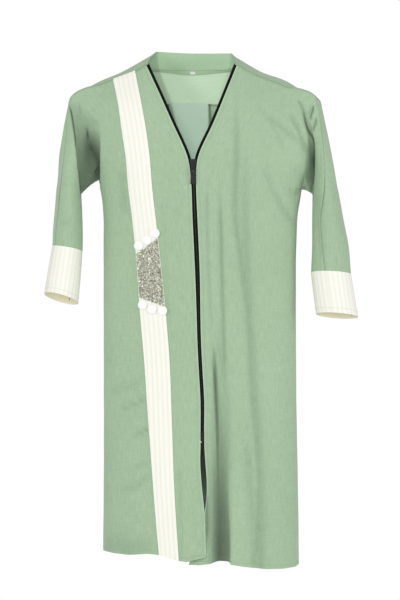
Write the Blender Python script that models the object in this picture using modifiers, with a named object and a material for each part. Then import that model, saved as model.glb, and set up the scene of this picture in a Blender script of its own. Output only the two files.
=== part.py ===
# A child's abaya, zipped in front, filled out and hollow as it is when worn.
# Metres, +Z up. The front looks along -Y and the wearer's right is at -X.
# The origin is at the base of the neck, between the shoulders.
# Sizes and tables are in millimetres and are turned to metres where a mesh is made.

import math

import bmesh
import bpy
import numpy as np
from mathutils import Vector

MM = 0.001

# Cloth walls and the gap that sewn pieces keep at a seam
CLOTH = 1.2
FIRM_CLOTH = 1.6
TRIM_CLOTH = 1.0
SEAM = 0.3

# How many faces the cloth has: rows down the yoke region, the body, the sleeves and the cuffs
UPPER_ROWS = 8
BODY_ROWS = 18
SLEEVE_ROWS = 4
CUFF_ROWS = 3

# Faces across each panel of the body, from its edge or middle out to the side seam
RIGHT_FRONT_FACES = (4, 4, 6)
LEFT_FRONT_FACES = (6, 10)
BACK_FACES = (6, 4)

# The columns of the right front that the striped band lies on
BAND_FIRST = RIGHT_FRONT_FACES[0]
BAND_LAST = RIGHT_FRONT_FACES[0] + RIGHT_FRONT_FACES[1]

# How many faces beside the over-arm seam a back gives way over, to meet the front there
SEAM_FADE = 5.0

# The body is a tube of rounded sections. Every row: height, x of the wearer's right side seam,
# x of the left side seam, depth in front of the side seams, depth behind them.
BODY_ROUNDNESS = 2.35
BODY_SECTIONS = (
    # height, right, left, front, back
    (-190, -163.5, 187.0, 68.0, 64.5),
    (-205, -160.6, 183.0, 69.0, 65.0),
    (-225, -156.9, 180.0, 70.0, 65.0),
    (-250, -154.6, 176.2, 70.0, 65.0),
    (-300, -153.9, 174.0, 70.0, 65.0),
    (-400, -153.3, 173.4, 70.5, 65.5),
    (-540, -153.0, 173.9, 71.5, 66.5),
    (-700, -153.2, 176.2, 73.5, 68.5),
    (-860, -155.2, 178.0, 76.0, 71.0),
)

# Where the side seams meet the underarms: x and height. The row at the underarm starts from
# the height UNDERARM_LEVEL at the front edges and at the middle of the back.
RIGHT_SIDE_POINT = (-160.8, -194.2)
LEFT_SIDE_POINT = (181.2, -209.8)
UNDERARM_LEVEL = -205.0
UNDERARM_ARCH = 3.0
HEM_LEVEL = -840.0

# The middle of the back, its shoulder blades, and a line down the middle of the left front
BACK_MIDDLE = -9.4
RIGHT_BLADE, LEFT_BLADE = -112.0, 117.0
LEFT_FRONT_MIDDLE = (
    # height, x
    (-205, 52.0),
    (-480, 57.0),
    (-860, 64.0),
)

# Where the fronts end at the middle: down the neck, beside the zip, then down the slit
FRONT_EDGES = (
    # height, right front, left front
    (-150, -13.3, 10.0),
    (-166, -7.2, 4.6),
    (-180, -5.6, 3.6),
    (-204, -4.5, 3.8),
    (-262, -2.5, 6.1),
    (-313, -0.1, 8.5),
    (-364, 2.2, 10.3),
    (-415, 4.0, 11.0),
    (-466, 5.5, 12.1),
    (-517, 8.0, 14.7),
    (-568, 10.8, 17.5),
    (-620, 10.9, 17.4),
    (-640, 11.0, 17.6),
    (-671, 10.4, 19.4),
    (-702, 12.2, 21.6),
    (-738, 15.8, 20.7),
    (-765, 18.4, 16.0),
    (-800, 19.4, 4.5),
    (-850, 21.0, -10.5),
)
SLIT_TOP = -650.0
SLIT_OVERLAP_DEPTH = 8.5
SLIT_OVERLAP_RUN = 110.0
SLIT_OVERLAP_WIDTH = 34.0

# The striped band on the wearer's right front, from the shoulder seam to the hem
BAND_EDGES = (
    # height, outer edge, inner edge
    (-160, -114.6, -74.5),
    (-205, -111.0, -70.8),
    (-262, -103.7, -64.4),
    (-320, -97.8, -57.6),
    (-417, -91.0, -47.9),
    (-495, -84.2, -41.4),
    (-593, -77.4, -37.6),
    (-704, -69.2, -33.8),
    (-775, -63.6, -30.1),
    (-850, -57.0, -25.3),
)

# Hems, each front's and the back's: x and height
RIGHT_HEM = ((-155, -823), (-134, -826.5), (-110, -828.7), (-77, -826.5), (-60, -828), (-25, -838.5),
             (-12, -840), (21, -832.5))
LEFT_HEM = ((-10.5, -845), (9, -845.5), (28, -843.3), (45, -838.8), (55, -840), (63, -845), (86, -848.7),
            (121, -852.5), (150, -852.5), (171, -850), (178, -846))
BACK_HEM = ((-155, -823), (-120, -824), (-9, -826), (120, -838), (178, -846))

# The largest soft troughs of the fronts, and the back's pleat and drapes. Every row: x and
# height at the top, x and height at the bottom, how far the trough spreads to each side, and
# its depth at the top and the bottom. A trough sets in over FOLD_ENTRY.
FOLD_ENTRY = 60.0
LEFT_FRONT_FOLDS = (
    # x top, z top, x bottom, z bottom, spread right, spread left, depth top, depth bottom
    (38.5, -480, 47.5, -850, 18, 14, 0.6, 10.0),
    (92.0, -600, 99.0, -852, 24, 26, 0.5, 4.0),
)
RIGHT_FRONT_FOLDS = (
    (-8.0, -690, -2.0, -842, 20, 16, 0.3, 2.5),
    (-128.0, -560, -124.0, -830, 18, 20, 0.3, 3.0),
)
BACK_FOLDS = (
    (-9.4, -40, -9.4, -860, 13, 13, 2.2, 3.2),
    (-78.0, -420, -84.0, -826, 24, 28, 0.5, 5.5),
    (74.0, -360, 82.0, -836, 28, 24, 0.5, 6.5),
    (132.0, -560, 128.0, -846, 18, 16, 0.3, 3.5),
)

# The upper part of each front, from the shoulder seam to the underarm: one row for each line
# down the cloth, with its points at four levels. The levels below come from the body and sleeve.
RIGHT_FRONT_LINES = (
    # line, faces to the next line, shoulder seam, upper chest, chest, lower chest
    ("front edge", 4, (-81.8, -24, 2), (-60.5, -44, -44), (-36.5, -58, -98), (-11.1, -66.5, -156)),
    ("band inner edge", 4, (-100, -20.5, -8.2), (-89.8, -45, -60), (-81, -57.8, -110), (-74.5, -64.2, -160)),
    ("band outer edge", 3, (-137.3, -15, -22.4), (-128.4, -38.6, -66), (-121.6, -50.6, -113),
     (-114.6, -56.4, -160)),
    ("flank", 3, (-154, -12.5, -29.2), (-149, -32, -67), (-145, -42, -113), (-143, -45, -158)),
    ("chest side", 2, (-169, -10.5, -33.2), (-165, -26, -69), (-161, -34, -113), (-160, -31, -156)),
    ("underarm", 1, (-181, -8.5, -35.8), (-181, -20, -73), (-177, -25, -115), (-174.5, -15, -158)),
    ("sleeve inside", 2, (-190.5, -7, -39.2), (-196, -15, -76), (-194, -28, -117), (-190, -24, -160)),
    ("sleeve fold", 2, (-198.5, -5.5, -43), (-207, -12.5, -77), (-204.5, -31, -118), (-199, -37, -161)),
    ("sleeve front", 3, (-204.5, -4.5, -47.2), (-212.6, -10, -77.5), (-212, -28, -119), (-210.5, -40, -161)),
    ("over-arm seam", 0, (-209, -3.5, -51.8), (-215.3, -7, -78), (-217.8, -19, -121), (-221.5, -29, -161)),
)
LEFT_FRONT_LINES = (
    ("front edge", 6, (73.6, -23, 2.5), (55, -44, -44), (32.9, -58, -98), (7.2, -66.5, -156)),
    ("front middle", 3, (92.5, -21.5, -8.8), (84, -47, -60), (70, -60, -110), (58, -67, -160)),
    ("chest", 3, (118, -19.5, -20.2), (114, -41, -65), (108, -55, -113), (103, -62.5, -161)),
    ("flank", 4, (141, -18.5, -28.6), (145, -35, -69), (147, -46, -115), (148, -51, -163)),
    ("chest side", 2, (162, -17.5, -37), (168, -29, -73), (180, -36, -116), (190, -31, -164)),
    ("underarm", 1, (176, -17.5, -37.6), (183, -25, -76), (195, -29, -115), (203.5, -17, -165)),
    ("sleeve inside", 2, (187, -17.5, -40.4), (193.5, -24, -79), (203.5, -33, -117), (208.5, -32, -166)),
    ("sleeve fold", 3, (197.5, -17.5, -44.4), (204, -23, -82), (211.5, -36, -119), (214.5, -39, -167)),
    ("over-arm seam", 0, (206, -18, -50.6), (213.5, -21, -84), (218.4, -35, -121), (221.6, -42.5, -168)),
)

# The upper back under the yoke, built the same way, from the middle outwards
RIGHT_BACK_LINES = (
    # line, faces to the next line, yoke seam, shoulder blade, upper back
    ("back middle", 3, (-9.4, 57, -62), (-9.4, 63, -110), (-9.4, 65, -160)),
    ("mid back", 3, (-60, 56, -62), (-60, 62, -110), (-60, 64, -160)),
    ("shoulder blade", 2, (-112, 51, -62), (-113, 57, -111), (-113, 57, -160)),
    ("flank", 2, (-143, 44, -62), (-145, 48, -112), (-144, 45, -159)),
    ("back side", 2, (-163, 38, -62), (-164, 37, -113), (-161, 30, -157)),
    ("underarm", 1, (-180, 32, -62), (-179, 28, -115), (-175, 14, -158)),
    ("sleeve inside", 2, (-191, 27, -61.5), (-194, 31, -117), (-190, 24, -160)),
    ("sleeve back", 3, (-204, 18, -60.5), (-210, 29, -118), (-208, 38, -161)),
    ("sleeve outside", 4, (-212, 6, -58), (-222.6, 2, -119), (-228, 1, -161)),
    ("over-arm seam", 0, (-209, -3.5, -51.8), (-217.8, -19, -121), (-221.5, -29, -161)),
)
LEFT_BACK_LINES = (
    ("back middle", 3, (-9.4, 57, -62), (-9.4, 63, -110), (-9.4, 65, -160)),
    ("mid back", 3, (50, 56, -62), (52, 62, -110), (54, 64, -160)),
    ("shoulder blade", 2, (104, 51, -62.5), (110, 57, -112), (115, 58, -161)),
    ("flank", 2, (138, 44, -63), (148, 48, -114), (155, 46, -163)),
    ("back side", 2, (160, 38, -64), (175, 37, -116), (186, 29, -165)),
    ("underarm", 1, (178, 32, -65), (192, 29, -116), (201, 14, -166)),
    ("sleeve inside", 2, (191, 27, -66), (204, 32, -118), (209, 26, -167)),
    ("sleeve back", 4, (206, 18, -67), (217, 32, -120), (221, 38, -168)),
    ("sleeve outside", 6, (215.5, 3, -62), (228.3, 0, -121), (236.5, 0, -168)),
    ("over-arm seam", 0, (206, -18, -50.6), (218.4, -35, -121), (221.6, -42.5, -168)),
)

# Sleeve rings, from the underarm to the hem of the cuff. Every row: the inner end and the outer
# end of the ring seen from the front, how far back its middle lies, half of its depth, how much
# the front is raised over the back, and where the over-arm seam lies, in degrees from the outer
# edge towards the front.
RIGHT_SLEEVE_RINGS = (
    # inner x, inner z, outer x, outer z, middle y, half depth, lean, seam angle
    (-192.0, -217.8, -233.5, -208.0, 0.0, 43.5, 2.0, 48.0),
    (-190.0, -252.0, -236.6, -244.5, -3.5, 41.0, 3.0, 43.0),
    (-188.8, -286.0, -239.4, -277.5, -8.5, 38.5, 4.0, 38.0),
    (-189.2, -314.8, -240.9, -306.0, -13.5, 37.0, 5.0, 36.0),
)
RIGHT_CUFF_RINGS = (
    (-189.2, -314.8, -240.9, -306.0, -13.5, 37.0, 5.0, 36.0),
    (-192.2, -359.0, -247.8, -347.0, -20.0, 36.8, 8.0, 36.0),
    (-196.2, -403.0, -254.0, -387.0, -27.0, 36.5, 11.0, 36.0),
)
LEFT_SLEEVE_RINGS = (
    (201.6, -218.6, 246.6, -217.0, 0.0, 44.5, 2.0, 101.0),
    (200.8, -262.0, 254.9, -262.0, -5.0, 41.0, 3.5, 121.0),
    (200.3, -306.0, 263.4, -307.0, -11.0, 36.5, 5.5, 119.0),
    (198.2, -351.0, 266.7, -354.0, -18.0, 32.0, 8.0, 109.0),
)
LEFT_CUFF_RINGS = (
    (198.2, -351.0, 266.7, -354.0, -18.0, 32.0, 8.0, 109.0),
    (202.2, -386.0, 272.4, -390.0, -23.5, 31.2, 8.6, 109.0),
    (207.0, -421.5, 278.4, -426.8, -29.0, 30.5, 9.2, 109.0),
)

# The yoke, from the right shoulder seam over the ridge and round the back to the left seam.
# Every row: a line out from the neck, its share of the way round, and its points at the neck
# edge and at two places on the way out. The fronts and the back give the outer ends.
YOKE_LINES = (
    # line, share of the way round, neck edge, third of the way, two thirds of the way
    ("right seam", 0.0, (-81.8, -24, 2), (-120, -17.5, -16), (-168, -10.6, -32)),
    ("right ridge", 0.085, (-83, 0, 12.0), (-121, 4, -9.2), (-170, 6, -32.2)),
    ("right rear shoulder", 0.2, (-74, 25, -1.2), (-113, 24, -13), (-160, 27, -41)),
    ("right back", 0.34, (-42, 44, -3.8), (-68, 46, -19), (-102, 48, -40)),
    ("back middle", 0.5, (-6, 50, -4.6), (-7, 52.5, -23), (-8.5, 55, -42)),
    ("left back", 0.65, (34, 44, -4), (56, 46, -20), (88, 48, -41)),
    ("left rear shoulder", 0.79, (66, 25, -1.2), (104, 24, -14), (152, 27, -44)),
    ("left ridge", 0.905, (75.5, 0, 12.3), (113, 4, -9.2), (164, 5, -29.8)),
    ("left seam", 1.0, (73.6, -23, 2.5), (114, -19.8, -18.8), (166, -17.5, -38.8)),
)
YOKE_LEVELS = (0.0, 0.3, 0.68, 1.0)
YOKE_END_BLEND = 0.1

# The top edge of the stand collar
COLLAR_TOP = (
    # share of the way round, x, y, z
    (0.0, -80.3, -24.6, 4.0),
    (0.07, -73.5, -10, 15.5),
    (0.14, -66.0, 6, 23.2),
    (0.24, -61.5, 22, 25.0),
    (0.36, -36, 38, 24.2),
    (0.5, -3, 43.5, 23.0),
    (0.64, 32, 38, 22.8),
    (0.76, 63.2, 22, 22.2),
    (0.86, 65.2, 6, 20.6),
    (0.93, 69.5, -10, 14.5),
    (1.0, 72.3, -23.6, 5.0),
)
COLLAR_ROWS = 3

# Underlay of the back's box pleat, seen from inside the neck
PLEAT_SIDES = (-42.2, 23.5)
PLEAT_TOP = -61.6
PLEAT_BOTTOM = -818.0
PLEAT_INSET = 4.2

# Neck tape and label inside the back neck
TAPE_REACH = (0.2, 0.8)
TAPE_DROP = (0.5, 8.7)
LABEL_SIZE = (8.5, 4.8)
LABEL_MIDDLE = (-2.4, -9.9)

# Glitter patch: heights of its top and of its bottom, at the band's outer and inner edge, and
# how far it stays inside the band's edges, in columns of the front
PATCH_TOP = (-320.3, -294.6)
PATCH_BOTTOM = (-393.6, -408.0)
PATCH_MARGIN = 0.1

# White discs at the patch's ends
DISC_RADIUS = 7.9
DISC_RIM = 1.2
DISC_CROWN = 1.6
DISC_FACES = 16
DISC_MIDDLES = ((-92.9, -306.3), (-79.2, -297.2), (-65.4, -285.1),
                (-86.4, -406.3), (-70.4, -413.6), (-52.8, -416.0))

# Zip: tape behind the fronts' edges, coil at the tape's edge, slider, pull tab and end box
TAPE_WIDTH = 6.4
TAPE_FRONT, TAPE_BACK = 1.55, 2.45
COIL_WIDTH = 2.0
COIL_FRONT, COIL_BACK = 0.1, 2.45
COIL_BEVEL = 0.5
ZIP_TOP = 1.0
COIL_END = -619.6
ZIP_END = -644.0
SLIDER_TOP, SLIDER_BOTTOM = -159.8, -178.5
SLIDER_TOP_WIDTH, SLIDER_BOTTOM_WIDTH = 12.4, 9.0
PLATE = 1.4
BACK_PLATE_WIDTH, BACK_PLATE = 9.6, 1.0
POST_WIDTH, POST_LENGTH, POST_HEIGHT = 1.7, 2.6, -162.6
CROWN_WIDTH, CROWN_RISE, CROWN_LENGTH, CROWN_DROP = 2.2, 2.9, 14.8, 1.6
WINDOW_RISE, WINDOW_LENGTH, WINDOW_DROP = 1.7, 12.0, 1.7
END_BOX_TOP, END_BOX_BOTTOM = -620.0, -634.5
END_BOX_WIDTH = 4.2
END_BOX_DEPTH = 2.2
TAB_LENGTH, TAB_TOP_WIDTH, TAB_WIDTH, TAB_THICKNESS = 27.0, 9.0, 9.8, 1.1
TAB_EYE_WIDTH, TAB_EYE_LENGTH = 4.0, 5.0
TAB_PIVOT_HEIGHT = -175.6

# Colours: red, green and blue in linear light, roughness, metal
SAGE = ((0.340, 0.490, 0.330), 0.86, 0.0)
SAGE_LIGHT = ((0.440, 0.590, 0.430), 0.86, 0.0)
CREAM = ((0.860, 0.850, 0.770), 0.80, 0.0)
GLITTER = ((0.360, 0.330, 0.290), 0.45, 0.3)
WHITE = ((0.880, 0.880, 0.880), 0.35, 0.0)
BLACK = ((0.012, 0.012, 0.013), 0.45, 0.0)
GUNMETAL = ((0.035, 0.035, 0.038), 0.35, 0.6)


# Curves and sheets


def curve_through(keys, values, at):
    # A smooth curve through values at rising keys, read at one or more keys
    keys = np.asarray(keys, dtype=float)
    values = np.asarray(values, dtype=float)
    at = np.atleast_1d(np.asarray(at, dtype=float))
    slopes = np.gradient(values, keys, axis=0)
    left = np.clip(np.searchsorted(keys, at, side="right") - 1, 0, len(keys) - 2)
    step = keys[left + 1] - keys[left]
    t = np.clip((at - keys[left]) / step, 0.0, 1.0)
    shape = (-1,) + (1,) * (values.ndim - 1)
    t = t.reshape(shape)
    step = step.reshape(shape)
    start, end = values[left], values[left + 1]
    start_slope, end_slope = slopes[left] * step, slopes[left + 1] * step
    return ((2 * t**3 - 3 * t**2 + 1) * start + (t**3 - 2 * t**2 + t) * start_slope
            + (3 * t**2 - 2 * t**3) * end + (t**3 - t**2) * end_slope)


def from_table(table, column, height):
    # One column of a table whose first column is a falling height
    rows = np.array(table, dtype=float)[::-1]
    height = np.atleast_1d(np.asarray(height, dtype=float))
    return curve_through(rows[:, 0], rows[:, column], height.ravel()).reshape(height.shape)


def smooth_step(share):
    share = np.clip(share, 0.0, 1.0)
    return share * share * (3.0 - 2.0 * share)


def chord_shares(points):
    # How far along a row of points each one lies, from 0 to 1
    lengths = np.linalg.norm(np.diff(points, axis=0), axis=1)
    return np.concatenate([[0.0], np.cumsum(lengths)]) / lengths.sum()


def read_row(at, keys, points):
    # Points read along a row, between the points that lie at rising keys
    return np.stack([np.interp(at, keys, points[:, axis]) for axis in range(3)], axis=-1)


def sheet_through(cage, level_at, station_keys, station_at):
    # A smooth sheet through a cage of levels and lines
    levels = curve_through(np.arange(len(cage)), cage, level_at)
    return np.swapaxes(curve_through(station_keys, np.swapaxes(levels, 0, 1), station_at), 0, 1)


def unit(vectors):
    return vectors / np.maximum(np.linalg.norm(vectors, axis=-1, keepdims=True), 1e-9)


# The body and its folds


def body_size(height):
    # Middle, half width, front depth and back depth of the body at a height
    right = from_table(BODY_SECTIONS, 1, height)
    left = from_table(BODY_SECTIONS, 2, height)
    return ((right + left) / 2, (left - right) / 2, from_table(BODY_SECTIONS, 3, height),
            from_table(BODY_SECTIONS, 4, height))


def fold_depth(folds, x, height):
    # How deep the folds of a table press the cloth in at a place
    depth = np.zeros(np.broadcast(x, height).shape)
    for x_top, z_top, x_bottom, z_bottom, spread_right, spread_left, top, bottom in folds:
        run = np.clip((z_top - height) / (z_top - z_bottom), 0.0, 1.0)
        offset = x - (x_top + (x_bottom - x_top) * run)
        spread = np.where(offset < 0, spread_right, spread_left)
        profile = smooth_step(1.0 - np.abs(offset) / spread)
        entry = smooth_step((z_top - height) / FOLD_ENTRY)
        depth = depth + profile * entry * (top + (bottom - top) * run)
    return depth


def body_skin(x, height, face, folds):
    # The outside of the body at x and a height: face is -1 in front and 1 behind
    middle, half_width, front, back = body_size(height)
    across = np.clip(np.abs((x - middle) / half_width), 0.0, 1.0)
    swell = (1.0 - across**BODY_ROUNDNESS) ** (1.0 / BODY_ROUNDNESS)
    depth = np.where(face < 0, front, back) * swell
    return face * (depth - fold_depth(folds, x, height) * swell**2)


def side_columns(height, start, side, count):
    # x of columns that go round from start to a side seam, closer together as the body turns
    middle, half_width, _, _ = body_size(height)
    first = np.arcsin(np.clip(np.abs(start - middle) / half_width, 0, 1) ** (BODY_ROUNDNESS / 2))
    angles = first + (math.pi / 2 - first) * np.linspace(0.0, 1.0, count + 1)[:, None]
    return middle + side * half_width * np.sin(angles) ** (2 / BODY_ROUNDNESS)


def spaced(start, end, count):
    return start + (end - start) * np.linspace(0.0, 1.0, count + 1)[:, None]


def right_front_columns(height):
    edge = from_table(FRONT_EDGES, 1, height)
    inner = from_table(BAND_EDGES, 2, height)
    outer = from_table(BAND_EDGES, 1, height)
    to_band, over_band, to_side = RIGHT_FRONT_FACES
    return np.concatenate([spaced(edge, inner, to_band)[:-1], spaced(inner, outer, over_band)[:-1],
                           side_columns(height, outer, -1, to_side)])


def left_front_columns(height):
    edge = from_table(FRONT_EDGES, 2, height)
    middle = from_table(LEFT_FRONT_MIDDLE, 1, height)
    to_middle, to_side = LEFT_FRONT_FACES
    return np.concatenate([spaced(edge, middle, to_middle)[:-1], side_columns(height, middle, 1, to_side)])


def back_columns(height, blade, side):
    middle = np.full_like(height, BACK_MIDDLE)
    blade = np.full_like(height, blade)
    to_blade, to_side = BACK_FACES
    return np.concatenate([spaced(middle, blade, to_blade)[:-1], side_columns(height, blade, side, to_side)])


def right_back_columns(height):
    return back_columns(height, RIGHT_BLADE, -1)


def left_back_columns(height):
    return back_columns(height, LEFT_BLADE, 1)


def slit_overlap(grid, edge_column):
    # Below the zip the left front falls behind the right one
    edge = from_table(FRONT_EDGES, edge_column, grid[..., 2])
    near = smooth_step(1.0 - (grid[..., 0] - edge) / SLIT_OVERLAP_WIDTH)
    run = smooth_step((SLIT_TOP - grid[..., 2]) / SLIT_OVERLAP_RUN)
    grid[..., 1] += SLIT_OVERLAP_DEPTH * near * run


# The sleeves


def ring_at(rings, share, angles):
    # Points and outward normals of a sleeve ring; share runs down the table, angles are degrees
    keys = np.linspace(0.0, 1.0, len(rings))
    inner_x, inner_z, outer_x, outer_z, middle_y, half_depth, lean, _ = curve_through(keys, rings, share)[0]
    inner = np.array([inner_x, middle_y, inner_z])
    outer = np.array([outer_x, middle_y, outer_z])
    across = (outer - inner) / 2
    half_width = np.linalg.norm(across)
    tilt = math.radians(lean)
    forward = np.array([0.0, -math.cos(tilt), math.sin(tilt)])
    turn = np.radians(angles)[:, None]
    points = (inner + outer) / 2 + across * np.cos(turn) + half_depth * forward * np.sin(turn)
    normals = unit(across / half_width**2 * np.cos(turn) + forward / half_depth * np.sin(turn))
    return points, normals


def seam_angle(rings, share):
    return curve_through(np.linspace(0.0, 1.0, len(rings)), rings, share)[0][7]


def front_sleeve_angles(rings, share, count):
    return np.linspace(180.0, seam_angle(rings, share), count + 1)


def back_sleeve_angles(rings, share, count):
    return np.linspace(180.0, 360.0 + seam_angle(rings, share), count + 1)


# A half of the garment: the upper sheet, the body below it and the sleeve


class Half:
    # One front, or one half of the back, as three sheets that share the row at the underarm

    def __init__(self, lines, columns, face, folds, hem, rings, sleeve_angles, over_arm=None):
        self.face = face
        counts = [line[1] for line in lines]
        names = [line[0] for line in lines]
        self.body_count = sum(counts[:names.index("underarm") - 1])
        self.sleeve_start = sum(counts[:names.index("sleeve inside")])
        self.count = sum(counts)
        sleeve_count = self.count - self.sleeve_start
        side_x, side_z = RIGHT_SIDE_POINT if rings[0][0] < 0 else LEFT_SIDE_POINT

        body = self.body_sheet(columns, folds, hem, side_z)
        sleeve, sleeve_normals = self.sleeve_sheet(rings, sleeve_angles, sleeve_count)
        self.upper = self.upper_sheet(lines, counts, body, sleeve, side_x, side_z)
        if over_arm is not None:
            fade = np.clip((np.arange(self.count + 1) - self.count) / SEAM_FADE + 1.0, 0.0, 1.0) ** 2
            self.upper += fade[None, :, None] * (over_arm - self.upper[:, -1])[:, None, :]
        self.body = np.concatenate([self.upper[-1:, :self.body_count + 1], body[1:]])
        self.sleeve = np.concatenate([self.upper[-1:, self.sleeve_start:], sleeve[1:]])
        self.find_normals(sleeve_normals)

    def body_sheet(self, columns, folds, hem, side_z):
        first = columns(np.full(1, UNDERARM_LEVEL))[:, 0]
        last = columns(np.full(1, HEM_LEVEL))[:, 0]
        reach = np.abs(first - first[0]) / abs(first[-1] - first[0])
        tops = UNDERARM_LEVEL + (side_z - UNDERARM_LEVEL) * smooth_step(reach)
        hem_x, hem_z = np.array(hem, dtype=float).T
        bottoms = np.interp(last, hem_x, hem_z)
        rows = []
        for share in np.linspace(0.0, 1.0, BODY_ROWS + 1):
            heights = tops + (bottoms - tops) * share
            x = np.array([columns(np.full(1, height))[index, 0] for index, height in enumerate(heights)])
            y = body_skin(x, heights, self.face, folds)
            rows.append(np.stack([x, y, heights], axis=1))
        return np.array(rows)

    def sleeve_sheet(self, rings, sleeve_angles, count):
        points, normals = [], []
        for share in np.linspace(0.0, 1.0, SLEEVE_ROWS + 1):
            ring, outward = ring_at(rings, share, sleeve_angles(rings, share, count))
            points.append(ring)
            normals.append(outward)
        return np.array(points), np.array(normals)

    def upper_sheet(self, lines, counts, body, sleeve, side_x, side_z):
        # The named lines, the underarm row and one more row below it that only guides the curve
        table = np.array([line[2:] for line in lines], dtype=float).swapaxes(0, 1)
        levels = len(table)
        starts = np.concatenate([[0], np.cumsum(counts[:-1])])
        inner = sleeve[0][0]
        bridge = np.array([[side_x + (inner[0] - side_x) * share, 0.0,
                            side_z + (inner[2] - side_z) * share + UNDERARM_ARCH * math.sin(math.pi * share)]
                           for share in np.linspace(0.0, 1.0, self.sleeve_start - self.body_count + 1)])
        target = np.concatenate([body[0], bridge[1:-1], sleeve[0]])
        guide = np.concatenate([body[1], bridge[1:-1], sleeve[1]])
        station_row = target[starts]
        guide_row = guide[starts]
        under = [line[0] for line in lines].index("underarm")
        guide_row[under] = table[-1][under] * np.array([1.0, -1.0, 1.0])
        cage = np.concatenate([table, station_row[None], guide_row[None]])
        keys = np.mean([chord_shares(row) for row in cage[:-1]], axis=0)
        at = np.concatenate([np.linspace(keys[i], keys[i + 1], count + 1)[:-1]
                             for i, count in enumerate(counts) if count] + [[1.0]])
        sheet = sheet_through(cage, np.linspace(0.0, levels, UPPER_ROWS + 1), keys, at)
        ease = (np.linspace(0.0, 1.0, UPPER_ROWS + 1) ** 3)[:, None, None]
        return sheet + ease * (target - sheet[-1])

    def find_normals(self, sleeve_normals):
        upper = self.upper
        down = np.gradient(upper, axis=0)
        down[-1, :self.body_count + 1] = (self.body[1] - upper[-2, :self.body_count + 1]) / 2
        down[-1, self.sleeve_start:] = (self.sleeve[1] - upper[-2, self.sleeve_start:]) / 2
        along = np.gradient(upper, axis=1)
        self.upper_normals = self.outward(np.cross(down, along), upper)
        longer = np.concatenate([upper[-2:-1, :self.body_count + 1], self.body])
        down = np.gradient(longer, axis=0)[1:]
        along = np.gradient(self.body, axis=1)
        self.body_normals = self.outward(np.cross(down, along), self.body)
        self.sleeve_normals = sleeve_normals
        mixed = unit(self.upper_normals[-1, self.sleeve_start:] + sleeve_normals[0])
        self.upper_normals[-1, self.sleeve_start:] = mixed
        self.sleeve_normals[0] = mixed
        self.body_normals[0] = self.upper_normals[-1, :self.body_count + 1]

    def outward(self, normals, points):
        # Grids run either way round; the middle of the sheet tells which way is out
        normals = unit(normals)
        sample = normals[len(normals) // 2, normals.shape[1] // 3]
        return normals if sample[1] * self.face > 0 else -normals


def share_seam(first_points, first_normals, second_points, second_normals):
    # Both sides of a seam take the mean of their normals, so that their walls stand side by side
    first_at = chord_shares(first_points)
    second_at = chord_shares(second_points)
    first_mean = unit(first_normals + read_row(first_at, second_at, second_normals))
    second_mean = unit(second_normals + read_row(second_at, first_at, first_normals))
    first_normals[:] = first_mean
    second_normals[:] = second_mean


def draw_back(points, inner, gap=SEAM / 2):
    # Move an edge back from its seam, towards the next row of its own sheet
    points += unit(inner - points) * gap


def join_halves(front, back):
    # The side seam, the underarm and the over-arm seam between a front and its half of the back
    last, start = front.body_count, front.sleeve_start
    back_last, back_start = back.body_count, back.sleeve_start
    share_seam(front.body[:, last], front.body_normals[:, last], back.body[:, back_last],
               back.body_normals[:, back_last])
    share_seam(front.sleeve[:, 0], front.sleeve_normals[:, 0], back.sleeve[:, 0], back.sleeve_normals[:, 0])
    share_seam(front.upper[-1, last:start + 1], front.upper_normals[-1, last:start + 1],
               back.upper[-1, back_last:back_start + 1], back.upper_normals[-1, back_last:back_start + 1])
    share_seam(front.upper[:, -1], front.upper_normals[:, -1], back.upper[:, -1], back.upper_normals[:, -1])
    share_seam(front.sleeve[:, -1], front.sleeve_normals[:, -1],
               back.sleeve[:, -1], back.sleeve_normals[:, -1])
    for half in (front, back):
        last, start = half.body_count, half.sleeve_start
        half.body_normals[0, last] = half.upper_normals[-1, last]
        half.sleeve_normals[0, 0] = half.upper_normals[-1, start]
        half.sleeve_normals[0, -1] = half.upper_normals[-1, -1]
        draw_back(half.upper[-1, last:start + 1], half.upper[-2, last:start + 1].copy(), SEAM * 0.6)
        draw_back(half.body[1:, last], half.body[1:, last - 1].copy())
        draw_back(half.sleeve[1:, 0], half.sleeve[1:, 1].copy())
        draw_back(half.upper[:, -1], half.upper[:, -2].copy())
        draw_back(half.sleeve[1:, -1], half.sleeve[1:, -2].copy())
        half.body[0, last] = half.upper[-1, last]
        half.sleeve[0, 0] = half.upper[-1, start]
        half.sleeve[0, -1] = half.upper[-1, -1]


# Walls


class Wall:
    # Collects sheets of outer points and inward walls into one closed cloth body

    def __init__(self, thickness):
        self.thickness = thickness
        self.outer, self.inner, self.index, self.faces = [], [], {}, []

    def place(self, point, normal):
        key = tuple(np.round(point, 4))
        if key not in self.index:
            self.index[key] = len(self.outer)
            self.outer.append(np.array(point))
            self.inner.append(np.array(point) - np.array(normal) * self.thickness)
        return self.index[key]

    def sheet(self, points, normals, closed=False):
        ids = [[self.place(point, normal) for point, normal in zip(row, row_normals)]
               for row, row_normals in zip(points, normals)]
        for upper, lower in zip(ids, ids[1:]):
            count = len(upper)
            for i in range(count if closed else count - 1):
                j = (i + 1) % count
                self.faces.append((upper[i], upper[j], lower[j], lower[i]))

    def build(self, name, collection, material):
        mesh = bpy.data.meshes.new(name)
        work = bmesh.new()
        outer = [work.verts.new(Vector(p) * MM) for p in self.outer]
        inner = [work.verts.new(Vector(p) * MM) for p in self.inner]
        edges = {}
        for face in self.faces:
            for a, b in zip(face, face[1:] + face[:1]):
                pair = (min(a, b), max(a, b))
                edges[pair] = edges.get(pair, 0) + 1
            work.faces.new([outer[i] for i in face])
            work.faces.new([inner[i] for i in reversed(face)])
        for (a, b), uses in edges.items():
            if uses == 1:
                work.faces.new((outer[b], outer[a], inner[a], inner[b]))
        bmesh.ops.recalc_face_normals(work, faces=work.faces)
        work.to_mesh(mesh)
        work.free()
        return add_object(name, mesh, collection, material)


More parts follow.
